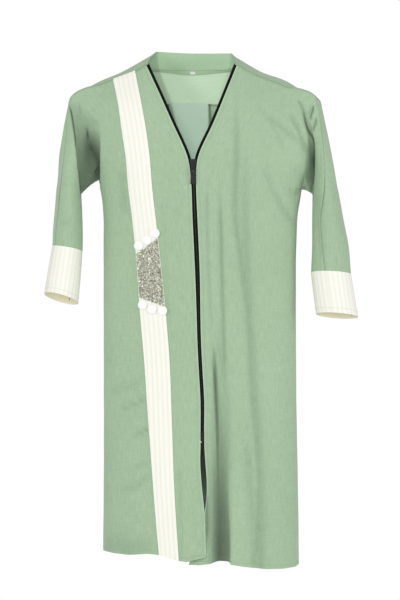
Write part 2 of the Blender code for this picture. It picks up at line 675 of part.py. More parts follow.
def add_object(name, mesh, collection, material):
    mesh.shade_smooth()
    mesh.set_sharp_from_angle(angle=math.radians(40))
    thing = bpy.data.objects.new(name, mesh)
    thing.data.materials.append(material)
    collection.objects.link(thing)
    return thing


def make_material(name, finish):
    colour, roughness, metallic = finish
    material = bpy.data.materials.new(name)
    material.use_nodes = True
    shader = material.node_tree.nodes["Principled BSDF"]
    shader.inputs["Base Color"].default_value = (*colour, 1.0)
    shader.inputs["Roughness"].default_value = roughness
    shader.inputs["Metallic"].default_value = metallic
    return material


def new_collection(name):
    collection = bpy.data.collections.new(name)
    bpy.context.scene.collection.children.link(collection)
    return collection


# The yoke and collar


def yoke_sheet(halves):
    # Rows run out from the neck; columns run from the right shoulder seam round the back to the left
    right_front, left_front, right_back, left_back = halves
    right_seam = right_front.upper[0, ::2]
    left_seam = left_front.upper[0, ::2]
    seam_row = np.concatenate([right_back.upper[0][::-1], left_back.upper[0][1:]])
    cage = np.array([line[2:] for line in YOKE_LINES], dtype=float).swapaxes(0, 1)
    seam_keys = chord_shares(seam_row)
    line_keys = np.array([line[1] for line in YOKE_LINES])
    outer_row = read_row(line_keys, seam_keys, seam_row)
    cage = np.concatenate([cage, outer_row[None]])
    shares = (chord_shares(right_seam) + chord_shares(left_seam)) / 2
    levels = curve_through(YOKE_LEVELS, cage, shares)
    sheet = np.swapaxes(curve_through(line_keys, np.swapaxes(levels, 0, 1), seam_keys), 0, 1)
    sheet += (shares**3)[:, None, None] * (seam_row - sheet[-1])
    from_right = np.clip(1.0 - seam_keys / YOKE_END_BLEND, 0.0, 1.0)
    from_left = np.clip(1.0 - (1.0 - seam_keys) / YOKE_END_BLEND, 0.0, 1.0)
    sheet += (from_right**2)[None, :, None] * (right_seam - sheet[:, 0])[:, None, :]
    sheet += (from_left**2)[None, :, None] * (left_seam - sheet[:, -1])[:, None, :]
    sheet[-1] = seam_row
    down = np.gradient(sheet, axis=0)
    along = np.gradient(sheet, axis=1)
    normals = unit(np.cross(along, down))
    if normals[0, normals.shape[1] // 2][1] < 0:
        normals = -normals
    return sheet, normals


def collar_sheet(neck):
    # From the neck edge up to the collar's top edge
    table = np.array(COLLAR_TOP, dtype=float)
    top = curve_through(table[:, 0], table[:, 1:], chord_shares(neck))
    shares = np.linspace(0.0, 1.0, COLLAR_ROWS + 1)[:, None, None]
    sheet = neck[None] + (top - neck)[None] * shares
    normals = unit(np.cross(np.gradient(sheet, axis=1), np.gradient(sheet, axis=0)))
    if normals[0, normals.shape[1] // 2][1] < 0:
        normals = -normals
    return sheet, normals


def snap_to_chords(row):
    # Every second point of a finer edge is laid on the straight between its neighbours
    row[1:-1:2] = (row[0:-2:2] + row[2::2]) / 2


def join_yoke(yoke, yoke_normals, halves):
    # Shoulder seams and yoke seam
    right_front, left_front, right_back, left_back = halves
    middle = right_back.count
    share_seam(yoke[:, 0], yoke_normals[:, 0], right_front.upper[0], right_front.upper_normals[0])
    share_seam(yoke[:, -1], yoke_normals[:, -1], left_front.upper[0], left_front.upper_normals[0])
    share_seam(yoke[-1, middle::-1], yoke_normals[-1, middle::-1],
               right_back.upper[0], right_back.upper_normals[0])
    share_seam(yoke[-1, middle:], yoke_normals[-1, middle:], left_back.upper[0], left_back.upper_normals[0])
    for half in halves:
        draw_back(half.upper[0], half.upper[1].copy())
    draw_back(yoke[:, 0], yoke[:, 1].copy())
    draw_back(yoke[:, -1], yoke[:, -2].copy())
    draw_back(yoke[-1], yoke[-2].copy())


# Reading places on a finished front


def whole_column(half, column):
    # Points and normals down a front at a column that may lie between two
    first = int(min(math.floor(column), half.body_count - 1))
    part = column - first
    points = np.concatenate([half.upper[:-1, :half.body_count + 1], half.body])
    normals = np.concatenate([half.upper_normals[:-1, :half.body_count + 1], half.body_normals])
    return (points[:, first] * (1 - part) + points[:, first + 1] * part,
            unit(normals[:, first] * (1 - part) + normals[:, first + 1] * part))


def on_front(half, column, height):
    points, normals = whole_column(half, column)
    rising = points[::-1, 2]
    return read_row(height, rising, points[::-1]), unit(read_row(height, rising, normals[::-1]))


def band_column(half, x, height):
    inner = on_front(half, BAND_FIRST, height)[0][0]
    outer = on_front(half, BAND_LAST, height)[0][0]
    return BAND_FIRST + (BAND_LAST - BAND_FIRST) * (inner - x) / (inner - outer)


# Cloth pieces


def build_front(name, half, collection, material):
    wall = Wall(CLOTH)
    wall.sheet(half.upper, half.upper_normals)
    wall.sheet(half.body, half.body_normals)
    wall.sheet(half.sleeve, half.sleeve_normals)
    wall.build(name, collection, material)


def build_back(halves, collection, material):
    wall = Wall(CLOTH)
    for half in halves:
        wall.sheet(half.upper, half.upper_normals)
        wall.sheet(half.body, half.body_normals)
        wall.sheet(half.sleeve, half.sleeve_normals)
    wall.build("back", collection, material)


def build_cuff(name, rings, sleeve_rings, front, back, collection, material):
    angle = seam_angle(sleeve_rings, 1.0)
    front_angles = np.linspace(angle, 180.0, front.count - front.sleeve_start + 1)
    back_angles = np.linspace(180.0, 360.0 + angle, back.count - back.sleeve_start + 1)
    angles = np.concatenate([front_angles[:-1], back_angles[:-1]])
    shares = np.linspace(0.0, 1.0, CUFF_ROWS + 1)
    points, normals = zip(*(ring_at(rings, share, angles) for share in shares))
    points, normals = np.array(points), np.array(normals)
    draw_back(points[0], points[1].copy(), SEAM)
    wall = Wall(FIRM_CLOTH)
    wall.sheet(points, normals, closed=True)
    wall.build(name, collection, material)


def build_yoke_and_collar(yoke, yoke_normals, collection, sage):
    neck = yoke[0].copy()
    collar, collar_normals = collar_sheet(neck)
    share_seam(yoke[0], yoke_normals[0], collar[0], collar_normals[0])
    draw_back(yoke[0], yoke[1].copy())
    draw_back(collar[0], collar[1].copy())
    wall = Wall(CLOTH)
    wall.sheet(yoke, yoke_normals)
    wall.build("back_yoke", collection, sage)
    wall = Wall(FIRM_CLOTH)
    wall.sheet(collar, collar_normals)
    wall.build("collar", collection, sage)


def down_yoke(yoke, yoke_normals, column, drop):
    # A place a given way down from the neck edge, and the outward normal there
    points = yoke[:, column]
    along = chord_shares(points) * np.linalg.norm(np.diff(points, axis=0), axis=1).sum()
    return read_row(drop, along, points), unit(read_row(drop, along, yoke_normals[:, column]))


def build_neck_tape(yoke, yoke_normals, collection, sage, white):
    shares = chord_shares(yoke[0])
    columns = [i for i, share in enumerate(shares) if TAPE_REACH[0] <= share <= TAPE_REACH[1]]
    inset = CLOTH + SEAM
    rows, row_normals = [], []
    for drop in np.linspace(*TAPE_DROP, 3):
        places = [down_yoke(yoke, yoke_normals, column, drop) for column in columns]
        rows.append([point - normal * inset for point, normal in places])
        row_normals.append([normal for _, normal in places])
    rows, row_normals = np.array(rows), np.array(row_normals)
    wall = Wall(TRIM_CLOTH)
    wall.sheet(rows, row_normals)
    wall.build("neck_tape", collection, sage)

    centre = min(columns, key=lambda column: abs(yoke[0, column, 0] - LABEL_MIDDLE[0]))
    point, normal = down_yoke(yoke, yoke_normals, centre, yoke[0, centre, 2] - LABEL_MIDDLE[1])
    face = point - normal * (inset + TRIM_CLOTH + SEAM)
    side = np.array([LABEL_SIZE[0] / 2, 0, 0])
    drop = unit(np.cross(side, normal)) * LABEL_SIZE[1] / 2
    drop = drop if drop[2] < 0 else -drop
    face[0] = LABEL_MIDDLE[0]
    points = np.array([[face - side - drop, face - drop, face + side - drop],
                       [face - side + drop, face + drop, face + side + drop]])
    wall = Wall(TRIM_CLOTH)
    wall.sheet(points, np.broadcast_to(normal, points.shape))
    wall.build("neck_label", collection, white)


def build_pleat(right_back, left_back, collection, material):
    # A flat underlay just inside the back, from the yoke seam down
    blade = BACK_FACES[0]
    rows = []
    for r in range(len(right_back.upper) + len(right_back.body) - 1):
        if r < len(right_back.upper):
            right, left = right_back.upper[r], left_back.upper[r]
        else:
            depth = r - len(right_back.upper) + 1
            right, left = right_back.body[depth], left_back.body[depth]
        row = np.concatenate([right[blade::-1], left[1:blade + 1]])
        ends = [read_row(x, row[:, 0], row) for x in PLEAT_SIDES]
        rows.append([ends[0] + (ends[1] - ends[0]) * share for share in np.linspace(0.0, 1.0, 5)])
    rows = np.array(rows)
    rows[:, :, 1] -= PLEAT_INSET
    rows[0, :, 2] = PLEAT_TOP
    rows[-1, :, 2] = PLEAT_BOTTOM
    wall = Wall(TRIM_CLOTH)
    wall.sheet(rows, np.broadcast_to(np.array([0.0, 1.0, 0.0]), rows.shape))
    wall.build("back_pleat", collection, material)


def build_band(half, collection, material):
    points = np.concatenate([half.upper[:-1, BAND_FIRST:BAND_LAST + 1],
                             half.body[:, BAND_FIRST:BAND_LAST + 1]])
    normals = np.concatenate([half.upper_normals[:-1, BAND_FIRST:BAND_LAST + 1],
                              half.body_normals[:, BAND_FIRST:BAND_LAST + 1]])
    wall = Wall(TRIM_CLOTH)
    wall.sheet(points + normals * (SEAM + TRIM_CLOTH), normals)
    wall.build("stripe_band", collection, material)


def build_patch(half, collection, material):
    lift = 2 * (SEAM + TRIM_CLOTH)
    rows, row_normals = [], []
    for down in np.linspace(0.0, 1.0, 7):
        row = []
        for across in np.linspace(0.0, 1.0, 5):
            top = PATCH_TOP[1] + (PATCH_TOP[0] - PATCH_TOP[1]) * across
            bottom = PATCH_BOTTOM[1] + (PATCH_BOTTOM[0] - PATCH_BOTTOM[1]) * across
            column = BAND_FIRST + PATCH_MARGIN + (BAND_LAST - BAND_FIRST - 2 * PATCH_MARGIN) * across
            row.append(on_front(half, column, top + (bottom - top) * down))
        rows.append([point + normal * lift for point, normal in row])
        row_normals.append([normal for _, normal in row])
    wall = Wall(TRIM_CLOTH)
    wall.sheet(np.array(rows), np.array(row_normals))
    wall.build("sequin_patch", collection, material)


def build_discs(half, collection, material):
    # Each disc is a turned profile, from the crown out over the rim and back under
    profile = bpy.data.meshes.new("disc_profile")
    outline = [(0, DISC_RIM + DISC_CROWN), (DISC_RADIUS * 0.55, DISC_RIM + DISC_CROWN * 0.78),
               (DISC_RADIUS * 0.88, DISC_RIM + DISC_CROWN * 0.32), (DISC_RADIUS, DISC_RIM * 0.7),
               (DISC_RADIUS * 0.97, 0), (0, 0)]
    profile.from_pydata([(x * MM, 0, z * MM) for x, z in outline],
                        [(i, i + 1) for i in range(len(outline) - 1)], [])
    profile.materials.append(material)
    for number, (x, height) in enumerate(DISC_MIDDLES, 1):
        point, normal = on_front(half, band_column(half, x, height), height)
        disc = bpy.data.objects.new(f"white_disc_{number}", profile)
        collection.objects.link(disc)
        seat = point + normal * (2 * SEAM + TRIM_CLOTH + 0.1)
        disc.location = Vector(seat) * MM
        disc.rotation_euler = Vector(normal).to_track_quat("Z", "Y").to_euler()
        screw = disc.modifiers.new("turned", "SCREW")
        screw.axis = "Z"
        screw.steps = DISC_FACES
        screw.render_steps = DISC_FACES
        screw.use_merge_vertices = True
        screw.merge_threshold = 0.00001
        screw.use_smooth_shade = True


# Zip


def zip_frames(half, edge_column):
    # Places down a front's edge, with the directions out of the cloth and across to the opening
    edge, normals = whole_column(half, 0)
    inside, _ = whole_column(half, 1)
    heights = [ZIP_TOP] + [z for z in edge[:, 2] if COIL_END + 4 < z < ZIP_TOP - 6]
    heights += [COIL_END, COIL_END - 0.2, ZIP_END]
    rising = edge[::-1, 2]

    def read(points, height):
        return read_row(height, rising, points[::-1])

    frames = []
    for height in heights:
        point, behind, normal = read(edge, height), read(inside, height), unit(read(normals, height))
        tangent = unit(read(edge, height - 5) - read(edge, height + 5))
        across = point - behind
        across = unit(across - tangent * np.dot(across, tangent))
        outward = unit(normal - tangent * np.dot(normal, tangent) - across * np.dot(normal, across))
        frames.append((height, point, across, outward))
    return frames


def zip_reveal(height):
    # How much tape shows between the front's edge and the coil
    gap = (from_table(FRONT_EDGES, 2, height)[0] - from_table(FRONT_EDGES, 1, height)[0]) / 2
    return float(np.clip(gap - COIL_WIDTH - SEAM / 2, 0.3, 2.4)) if height < -160 else 2.4


def build_zip_side(name, half, edge_column, collection, material):
    # The tape and coil are one section, swept down the front's edge
    rings = []
    for height, point, across, outward in zip_frames(half, edge_column):
        reveal = zip_reveal(height)
        coil = COIL_WIDTH if height >= COIL_END else 0.2
        front = COIL_FRONT if height >= COIL_END else TAPE_FRONT - 0.02
        bevel = COIL_BEVEL if height >= COIL_END else 0.02
        section = [(-TAPE_WIDTH, TAPE_BACK), (-TAPE_WIDTH, TAPE_FRONT), (reveal, TAPE_FRONT),
                   (reveal, front + bevel), (reveal + bevel, front), (reveal + coil - bevel, front),
                   (reveal + coil, front + bevel), (reveal + coil, TAPE_BACK)]
        rings.append([point + across * out - outward * deep for out, deep in section])
    work = bmesh.new()
    rows = [[work.verts.new(Vector(p) * MM) for p in ring] for ring in rings]
    for upper, lower in zip(rows, rows[1:]):
        for i in range(len(upper)):
            j = (i + 1) % len(upper)
            work.faces.new((upper[i], upper[j], lower[j], lower[i]))
    work.faces.new(rows[0])
    work.faces.new(rows[-1])
    bmesh.ops.recalc_face_normals(work, faces=work.faces)
    mesh = bpy.data.meshes.new(name)
    work.to_mesh(mesh)
    work.free()
    add_object(name, mesh, collection, material)


def block(name, size, middle, collection, material, taper=1.0, bevel=0.0):
    # A box that may narrow towards its foot
    work = bmesh.new()
    bmesh.ops.create_cube(work, size=1.0)
    for vert in work.verts:
        vert.co.x *= size[0] * (1.0 if vert.co.z > 0 else taper)
        vert.co.y *= size[1]
        vert.co.z *= size[2]
    bmesh.ops.scale(work, vec=(MM, MM, MM), verts=work.verts)
    mesh = bpy.data.meshes.new(name)
    work.to_mesh(mesh)
    work.free()
    thing = add_object(name, mesh, collection, material)
    thing.location = Vector(middle) * MM
    if bevel:
        rounded = thing.modifiers.new("rounded", "BEVEL")
        rounded.width = bevel * MM
        rounded.segments = 2
    return thing


def combine(thing, other, operation):
    joined = thing.modifiers.new(operation.lower(), "BOOLEAN")
    joined.operation = operation
    joined.object = other
    other.hide_render = True
    other.display_type = "WIRE"


def zip_middle(height):
    return (from_table(FRONT_EDGES, 1, height)[0] + from_table(FRONT_EDGES, 2, height)[0]) / 2


def build_slider(right_front, left_front, collection, helpers, material):
    def skin_y(height):
        return min(on_front(right_front, 0, height)[0][1], on_front(left_front, 0, height)[0][1])

    top_y, bottom_y = skin_y(SLIDER_TOP), skin_y(SLIDER_BOTTOM)
    lean = math.atan2(bottom_y - top_y, SLIDER_TOP - SLIDER_BOTTOM)
    length = SLIDER_TOP - SLIDER_BOTTOM
    centre_z = (SLIDER_TOP + SLIDER_BOTTOM) / 2
    centre_y = (top_y + bottom_y) / 2
    centre_x = zip_middle(centre_z)
    hub = bpy.data.objects.new("slider_place", None)
    helpers.objects.link(hub)
    hub.location = Vector((centre_x, centre_y, centre_z)) * MM
    hub.rotation_euler = (lean, 0, 0)

    plate_y = -(SEAM + PLATE / 2)
    slider = block("zip_slider", (SLIDER_TOP_WIDTH, PLATE, length), (0, plate_y, 0), collection, material,
                   taper=SLIDER_BOTTOM_WIDTH / SLIDER_TOP_WIDTH, bevel=0.35)
    back_y = TAPE_BACK + SEAM + BACK_PLATE / 2
    back_plate = block("slider_back_plate", (BACK_PLATE_WIDTH, BACK_PLATE, length - 2.0), (0, back_y, 0),
                       helpers, material, taper=0.85)
    post = block("slider_post", (POST_WIDTH, back_y - plate_y, POST_LENGTH),
                 (0.2, (back_y + plate_y) / 2, POST_HEIGHT - centre_z), helpers, material, taper=0.5)
    crown_front = SEAM + PLATE + CROWN_RISE
    crown = block("slider_crown", (CROWN_WIDTH, crown_front - SEAM - PLATE / 2, CROWN_LENGTH),
                  (0, -(crown_front + SEAM + PLATE / 2) / 2, -CROWN_DROP), helpers, material)
    window = block("slider_window", (2 * CROWN_WIDTH, WINDOW_RISE, WINDOW_LENGTH),
                   (0, -(SEAM + PLATE + WINDOW_RISE / 2), -WINDOW_DROP), helpers, material)
    for piece in (slider, back_plate, post, crown, window):
        piece.parent = hub
    combine(crown, window, "DIFFERENCE")
    for piece in (crown, post, back_plate):
        combine(slider, piece, "UNION")

    pivot_z = TAB_PIVOT_HEIGHT
    pivot_y = top_y + (bottom_y - top_y) * (SLIDER_TOP - pivot_z) / length - (SEAM + PLATE + WINDOW_RISE / 2)
    reach = TAB_THICKNESS / 2
    tab = block("zip_pull_tab", (TAB_TOP_WIDTH, TAB_THICKNESS, TAB_LENGTH), (0, 0, 0), collection, material,
                taper=TAB_WIDTH / TAB_TOP_WIDTH, bevel=0.25)
    for vert in tab.data.vertices:
        vert.co.z += (reach - TAB_LENGTH / 2) * MM
    tab.location = Vector((zip_middle(pivot_z), pivot_y, pivot_z)) * MM
    eye = block("tab_eye", (TAB_EYE_WIDTH, 3 * TAB_THICKNESS, TAB_EYE_LENGTH),
                (zip_middle(pivot_z), pivot_y, pivot_z - reach - TAB_EYE_LENGTH / 2), helpers, material)
    combine(tab, eye, "DIFFERENCE")


def build_end_box(right_front, left_front, collection, material):
    height = (END_BOX_TOP + END_BOX_BOTTOM) / 2
    skin_y = min(on_front(right_front, 0, height)[0][1], on_front(left_front, 0, height)[0][1])
    block("zip_end_box", (END_BOX_WIDTH, END_BOX_DEPTH, END_BOX_TOP - END_BOX_BOTTOM),
          (zip_middle(height), skin_y + 0.1, height), collection, material, bevel=0.4)


def main():
    for thing in list(bpy.data.objects):
        bpy.data.objects.remove(thing, do_unlink=True)
    garment = new_collection("abaya")
    helpers = new_collection("cutters")
    sage = make_material("sage_crepe", SAGE)
    sage_light = make_material("sage_crepe_inside", SAGE_LIGHT)
    cream = make_material("striped_cream", CREAM)
    glitter = make_material("glitter", GLITTER)
    white = make_material("white_gloss", WHITE)
    black = make_material("zip_tape", BLACK)
    gunmetal = make_material("zip_metal", GUNMETAL)

    right_front = Half(RIGHT_FRONT_LINES, right_front_columns, -1, RIGHT_FRONT_FOLDS, RIGHT_HEM,
                       RIGHT_SLEEVE_RINGS, front_sleeve_angles)
    left_front = Half(LEFT_FRONT_LINES, left_front_columns, -1, LEFT_FRONT_FOLDS, LEFT_HEM,
                      LEFT_SLEEVE_RINGS, front_sleeve_angles)
    right_back = Half(RIGHT_BACK_LINES, right_back_columns, 1, BACK_FOLDS, BACK_HEM,
                      RIGHT_SLEEVE_RINGS, back_sleeve_angles, right_front.upper[:, -1])
    left_back = Half(LEFT_BACK_LINES, left_back_columns, 1, BACK_FOLDS, BACK_HEM,
                     LEFT_SLEEVE_RINGS, back_sleeve_angles, left_front.upper[:, -1])
    halves = (right_front, left_front, right_back, left_back)
    slit_overlap(left_front.body, 2)
    snap_to_chords(right_front.upper[0])
    snap_to_chords(left_front.upper[0])
    for sheet in ("upper_normals", "body_normals"):
        right, left = getattr(right_back, sheet), getattr(left_back, sheet)
        middle = unit(right[:, 0] + left[:, 0])
        right[:, 0] = middle
        left[:, 0] = middle

    yoke, yoke_normals = yoke_sheet(halves)
    join_halves(right_front, right_back)
    join_halves(left_front, left_back)
    join_yoke(yoke, yoke_normals, halves)
    left_back.upper[:, 0] = right_back.upper[:, 0]
    left_back.upper_normals[:, 0] = right_back.upper_normals[:, 0]
    left_back.body[:, 0] = right_back.body[:, 0]
    left_back.body_normals[:, 0] = right_back.body_normals[:, 0]

    build_front("right_front", right_front, garment, sage)
    build_front("left_front", left_front, garment, sage)
    build_back((right_back, left_back), garment, sage)
    build_yoke_and_collar(yoke, yoke_normals, garment, sage)
    build_neck_tape(yoke, yoke_normals, garment, sage_light, white)
    build_pleat(right_back, left_back, garment, sage_light)
    build_cuff("right_cuff", RIGHT_CUFF_RINGS, RIGHT_SLEEVE_RINGS, right_front, right_back, garment, cream)
    build_cuff("left_cuff", LEFT_CUFF_RINGS, LEFT_SLEEVE_RINGS, left_front, left_back, garment, cream)
    build_band(right_front, garment, cream)
    build_patch(right_front, garment, glitter)
    build_discs(right_front, garment, white)
    build_zip_side("zip_right", right_front, 1, garment, black)
    build_zip_side("zip_left", left_front, 2, garment, black)
    build_slider(right_front, left_front, garment, helpers, gunmetal)
    build_end_box(right_front, left_front, garment, gunmetal)


main()
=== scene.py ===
# A child's abaya in sage crepe: striped band and cuffs, glitter patch, black zip.
# The cloth is laid over the model's own form, finer, with its creases listed one by one.
# Sizes are in millimetres until a mesh is made; the model itself is in metres.

import math

import bmesh
import bpy
import numpy as np
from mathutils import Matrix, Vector


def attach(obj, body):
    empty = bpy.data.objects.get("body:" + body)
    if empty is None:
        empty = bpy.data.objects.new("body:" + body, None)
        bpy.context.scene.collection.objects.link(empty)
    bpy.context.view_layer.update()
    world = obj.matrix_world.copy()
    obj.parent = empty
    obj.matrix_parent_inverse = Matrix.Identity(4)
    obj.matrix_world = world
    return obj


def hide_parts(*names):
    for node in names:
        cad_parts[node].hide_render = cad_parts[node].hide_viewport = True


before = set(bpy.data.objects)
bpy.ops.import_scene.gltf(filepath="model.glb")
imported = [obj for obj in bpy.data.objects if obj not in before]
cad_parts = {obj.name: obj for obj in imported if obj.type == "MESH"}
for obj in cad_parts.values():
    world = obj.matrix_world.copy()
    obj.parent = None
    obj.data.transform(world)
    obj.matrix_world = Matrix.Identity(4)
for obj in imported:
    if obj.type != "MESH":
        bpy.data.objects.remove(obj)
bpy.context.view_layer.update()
mm = 0.001
fine = 5                       # how many times finer the cloth is than the model's solids
garment = "garment"
print("frame loaded")


def newObject(name, data):
    thing = bpy.data.objects.new(name, data)
    bpy.context.scene.collection.objects.link(thing)
    return thing


# shared shader effects, each one a group that is placed in the materials

def newGroup(name, inputs, outputs):
    group = bpy.data.node_groups.new(name, "ShaderNodeTree")
    for label, kind, value in inputs:
        socket = group.interface.new_socket(label, in_out="INPUT", socket_type=kind)
        if value is not None:
            socket.default_value = value
    for label, kind in outputs:
        group.interface.new_socket(label, in_out="OUTPUT", socket_type=kind)
    return group, group.nodes.new("NodeGroupInput"), group.nodes.new("NodeGroupOutput")


def mathNode(tree, operation, first, second=None, third=None):
    node = tree.nodes.new("ShaderNodeMath")
    node.operation = operation
    for socket, value in zip(node.inputs, (first, second, third)):
        if isinstance(value, (int, float)):
            socket.default_value = value
        elif value is not None:
            tree.links.new(value, socket)
    return node.outputs[0]


def mixColour(tree, factor, first, second, kind="MIX"):
    node = tree.nodes.new("ShaderNodeMix")
    node.data_type = "RGBA"
    node.blend_type = kind
    for socket, value in ((node.inputs[0], factor), (node.inputs[6], first), (node.inputs[7], second)):
        if isinstance(value, (int, float)):
            socket.default_value = value
        elif isinstance(value, tuple):
            socket.default_value = (*value, 1.0)
        else:
            tree.links.new(value, socket)
    return node.outputs[2]


def stretchedNoise(tree, vector, scale, detail=2.0, roughness=0.5):
    place = tree.nodes.new("ShaderNodeMapping")
    place.inputs["Scale"].default_value = scale
    tree.links.new(vector, place.inputs["Vector"])
    noise = tree.nodes.new("ShaderNodeTexNoise")
    noise.inputs["Scale"].default_value = 1.0
    noise.inputs["Detail"].default_value = detail
    noise.inputs["Roughness"].default_value = roughness
    tree.links.new(place.outputs[0], noise.inputs["Vector"])
    return noise.outputs["Fac"]


crepeGrain = {
    # how often each unevenness comes in a metre, across and down
    "pebble": (900.0, 650.0, 1.0),
    "downSlub": (420.0, 55.0, 1.0),
    "crossSlub": (60.0, 380.0, 1.0),
    "patches": (9.0, 5.0, 1.0),
    "stripeStreak": (700.0, 12.0, 1.0),
    "ribPitch": 0.0052,
}


crepeMix = {
    # how much each part adds to the bump's height, and to the shade where it has a second number
    "threads": 0.35,
    "crossSlub": 0.6,
    "pebble": (0.5, 0.35),
    "rib": (0.35, 0.2),
    "patches": 0.25,
}


def makeCrepeGroup():
    # crepe: fine threads both ways, uneven slubs down and across, a dry pebbled grain
    tree, given, out = newGroup(
        "crepeWeave",
        [("Cloth Map", "NodeSocketVector", None), ("Thread Pitch", "NodeSocketFloat", 0.0008),
         ("Slub", "NodeSocketFloat", 0.5), ("Cross Rib", "NodeSocketFloat", 0.0)],
        [("Height", "NodeSocketFloat"), ("Tone", "NodeSocketFloat")])
    where = given.outputs["Cloth Map"]

    def plus(first, second):
        return mathNode(tree, "ADD", first, second)

    def times(first, second):
        return mathNode(tree, "MULTIPLY", first, second)

    def sine(value):
        return mathNode(tree, "SINE", value)

    def uneven(name, detail=2.0, roughness=0.5):
        noise = stretchedNoise(tree, where, crepeGrain[name], detail, roughness)
        return noise, mathNode(tree, "SUBTRACT", noise, 0.5)

    apart = tree.nodes.new("ShaderNodeSeparateXYZ")
    tree.links.new(where, apart.inputs[0])
    turn = mathNode(tree, "DIVIDE", 2 * math.pi, given.outputs["Thread Pitch"])
    warp = sine(times(apart.outputs[0], turn))
    weft = sine(times(apart.outputs[1], turn))
    threads = mathNode(tree, "MULTIPLY_ADD", times(warp, weft), 0.25, 0.5)
    pebble, pebbleSwing = uneven("pebble", 3.0, 0.6)
    rib = sine(times(apart.outputs[1], 2 * math.pi / crepeGrain["ribPitch"]))
    rib = times(rib, given.outputs["Cross Rib"])
    slubs = plus(uneven("downSlub")[1], times(uneven("crossSlub")[1], crepeMix["crossSlub"]))
    slubs = times(slubs, given.outputs["Slub"])
    pebbleHigh, pebbleTone = crepeMix["pebble"]
    ribHigh, ribTone = crepeMix["rib"]
    height = plus(times(threads, crepeMix["threads"]), times(pebble, pebbleHigh))
    height = plus(height, plus(slubs, times(rib, ribHigh)))
    tone = plus(slubs, times(uneven("patches")[1], crepeMix["patches"]))
    tone = plus(plus(tone, times(pebbleSwing, pebbleTone)), times(rib, ribTone))
    tree.links.new(height, out.inputs["Height"])
    tree.links.new(tone, out.inputs["Tone"])
    return tree


stripeShape = {
    "pitch": 0.0083,
    "easySide": 2.2,         # how fast the ridge rises on its two sides
    "steepSide": 3.6,
    "ridgeRound": 0.6,
    "flatTop": 0.4,
    "streak": 0.7,
}


def makeStripeGroup():
    # tonal stripes, the cloth's own pattern: each one is a soft ridge, and its colour is painted lighter on
    # one flank and greyer on the other, as if lit from one side
    tree, given, out = newGroup(
        "tonalStripes",
        [("Cloth Map", "NodeSocketVector", None), ("Pitch", "NodeSocketFloat", stripeShape["pitch"]),
         ("Start", "NodeSocketFloat", 0.0)],
        [("Stripe", "NodeSocketFloat"), ("Height", "NodeSocketFloat")])
    where = given.outputs["Cloth Map"]
    apart = tree.nodes.new("ShaderNodeSeparateXYZ")
    tree.links.new(where, apart.inputs[0])
    across = mathNode(tree, "ADD", apart.outputs[0], given.outputs["Start"])
    share = mathNode(tree, "FRACT", mathNode(tree, "DIVIDE", across, given.outputs["Pitch"]))
    easy = mathNode(tree, "MULTIPLY", share, stripeShape["easySide"])
    steep = mathNode(tree, "MULTIPLY", mathNode(tree, "SUBTRACT", 1.0, share), stripeShape["steepSide"])
    ridge = mathNode(tree, "SMOOTH_MIN", easy, steep, stripeShape["ridgeRound"])
    stripe = mathNode(tree, "SMOOTH_MIN", ridge, 1.0, stripeShape["flatTop"])
    streak = mathNode(tree, "SUBTRACT", stretchedNoise(tree, where, crepeGrain["stripeStreak"]), 0.5)
    stripe = mathNode(tree, "ADD", stripe, mathNode(tree, "MULTIPLY", streak, stripeShape["streak"]))
    node = tree.nodes.new("ShaderNodeClamp")
    tree.links.new(stripe, node.inputs[0])
    tree.links.new(node.outputs[0], out.inputs["Stripe"])
    tree.links.new(ridge, out.inputs["Height"])
    return tree


crepeGroup = makeCrepeGroup()
stripeGroup = makeStripeGroup()


def newMaterial(name, roughness, metallic=0.0, sheen=0.0, specular=0.3):
    material = bpy.data.materials.new(name)
    material.use_nodes = True
    shader = material.node_tree.nodes["Principled BSDF"]
    shader.inputs["Roughness"].default_value = roughness
    shader.inputs["Metallic"].default_value = metallic
    shader.inputs["Specular IOR Level"].default_value = specular
    shader.inputs["Sheen Weight"].default_value = sheen
    shader.inputs["Sheen Roughness"].default_value = 0.5
    return material, material.node_tree, shader


def clothMap(tree):
    node = tree.nodes.new("ShaderNodeUVMap")
    node.uv_map = "clothMap"
    return node.outputs[0]


def placeGroup(tree, group, vector, **values):
    node = tree.nodes.new("ShaderNodeGroup")
    node.node_tree = group
    tree.links.new(vector, node.inputs["Cloth Map"])
    for label, value in values.items():
        node.inputs[label.replace("_", " ")].default_value = value
    return node


def addBump(tree, shader, height, strength, distance):
    bump = tree.nodes.new("ShaderNodeBump")
    bump.inputs["Strength"].default_value = strength
    bump.inputs["Distance"].default_value = distance
    tree.links.new(height, bump.inputs["Height"])
    tree.links.new(bump.outputs[0], shader.inputs["Normal"])


def shade(tree, tone, dark, light, low=-0.35, high=0.35):
    spread = tree.nodes.new("ShaderNodeMapRange")
    spread.inputs["From Min"].default_value = low
    spread.inputs["From Max"].default_value = high
    tree.links.new(tone, spread.inputs["Value"])
    return mixColour(tree, spread.outputs[0], dark, light)


crepeLooks = {
    # dark tone, light tone, cross ribs, painted glow that stands in for light coming through
    "sageCrepe": ((0.276, 0.401, 0.254), (0.427, 0.578, 0.396), 0.0, 0.0),
    # painted light: the insides are lighter copies of the sage crepe, standing in for light that falls on
    # them through the neck and the cloth
    "sageInsideLit": ((0.440, 0.585, 0.420), (0.560, 0.685, 0.530), 0.25, 0.30),
    "collarInsideLit": ((0.410, 0.585, 0.390), (0.515, 0.700, 0.480), 0.1, 0.0),
    "neckTape": ((0.330, 0.470, 0.310), (0.390, 0.545, 0.365), 0.4, 0.15),
    # the pleat's underlay: its own teal tone, made lighter to stand in for the light on it
    "pleatCrepe": ((0.470, 0.600, 0.510), (0.545, 0.680, 0.575), 0.1, 0.25),
    # painted highlight: the fronts' rolled edges take a lighter copy of the sage crepe
    "edgeRoll": ((0.470, 0.620, 0.430), (0.560, 0.710, 0.520), 0.0, 0.0),
}


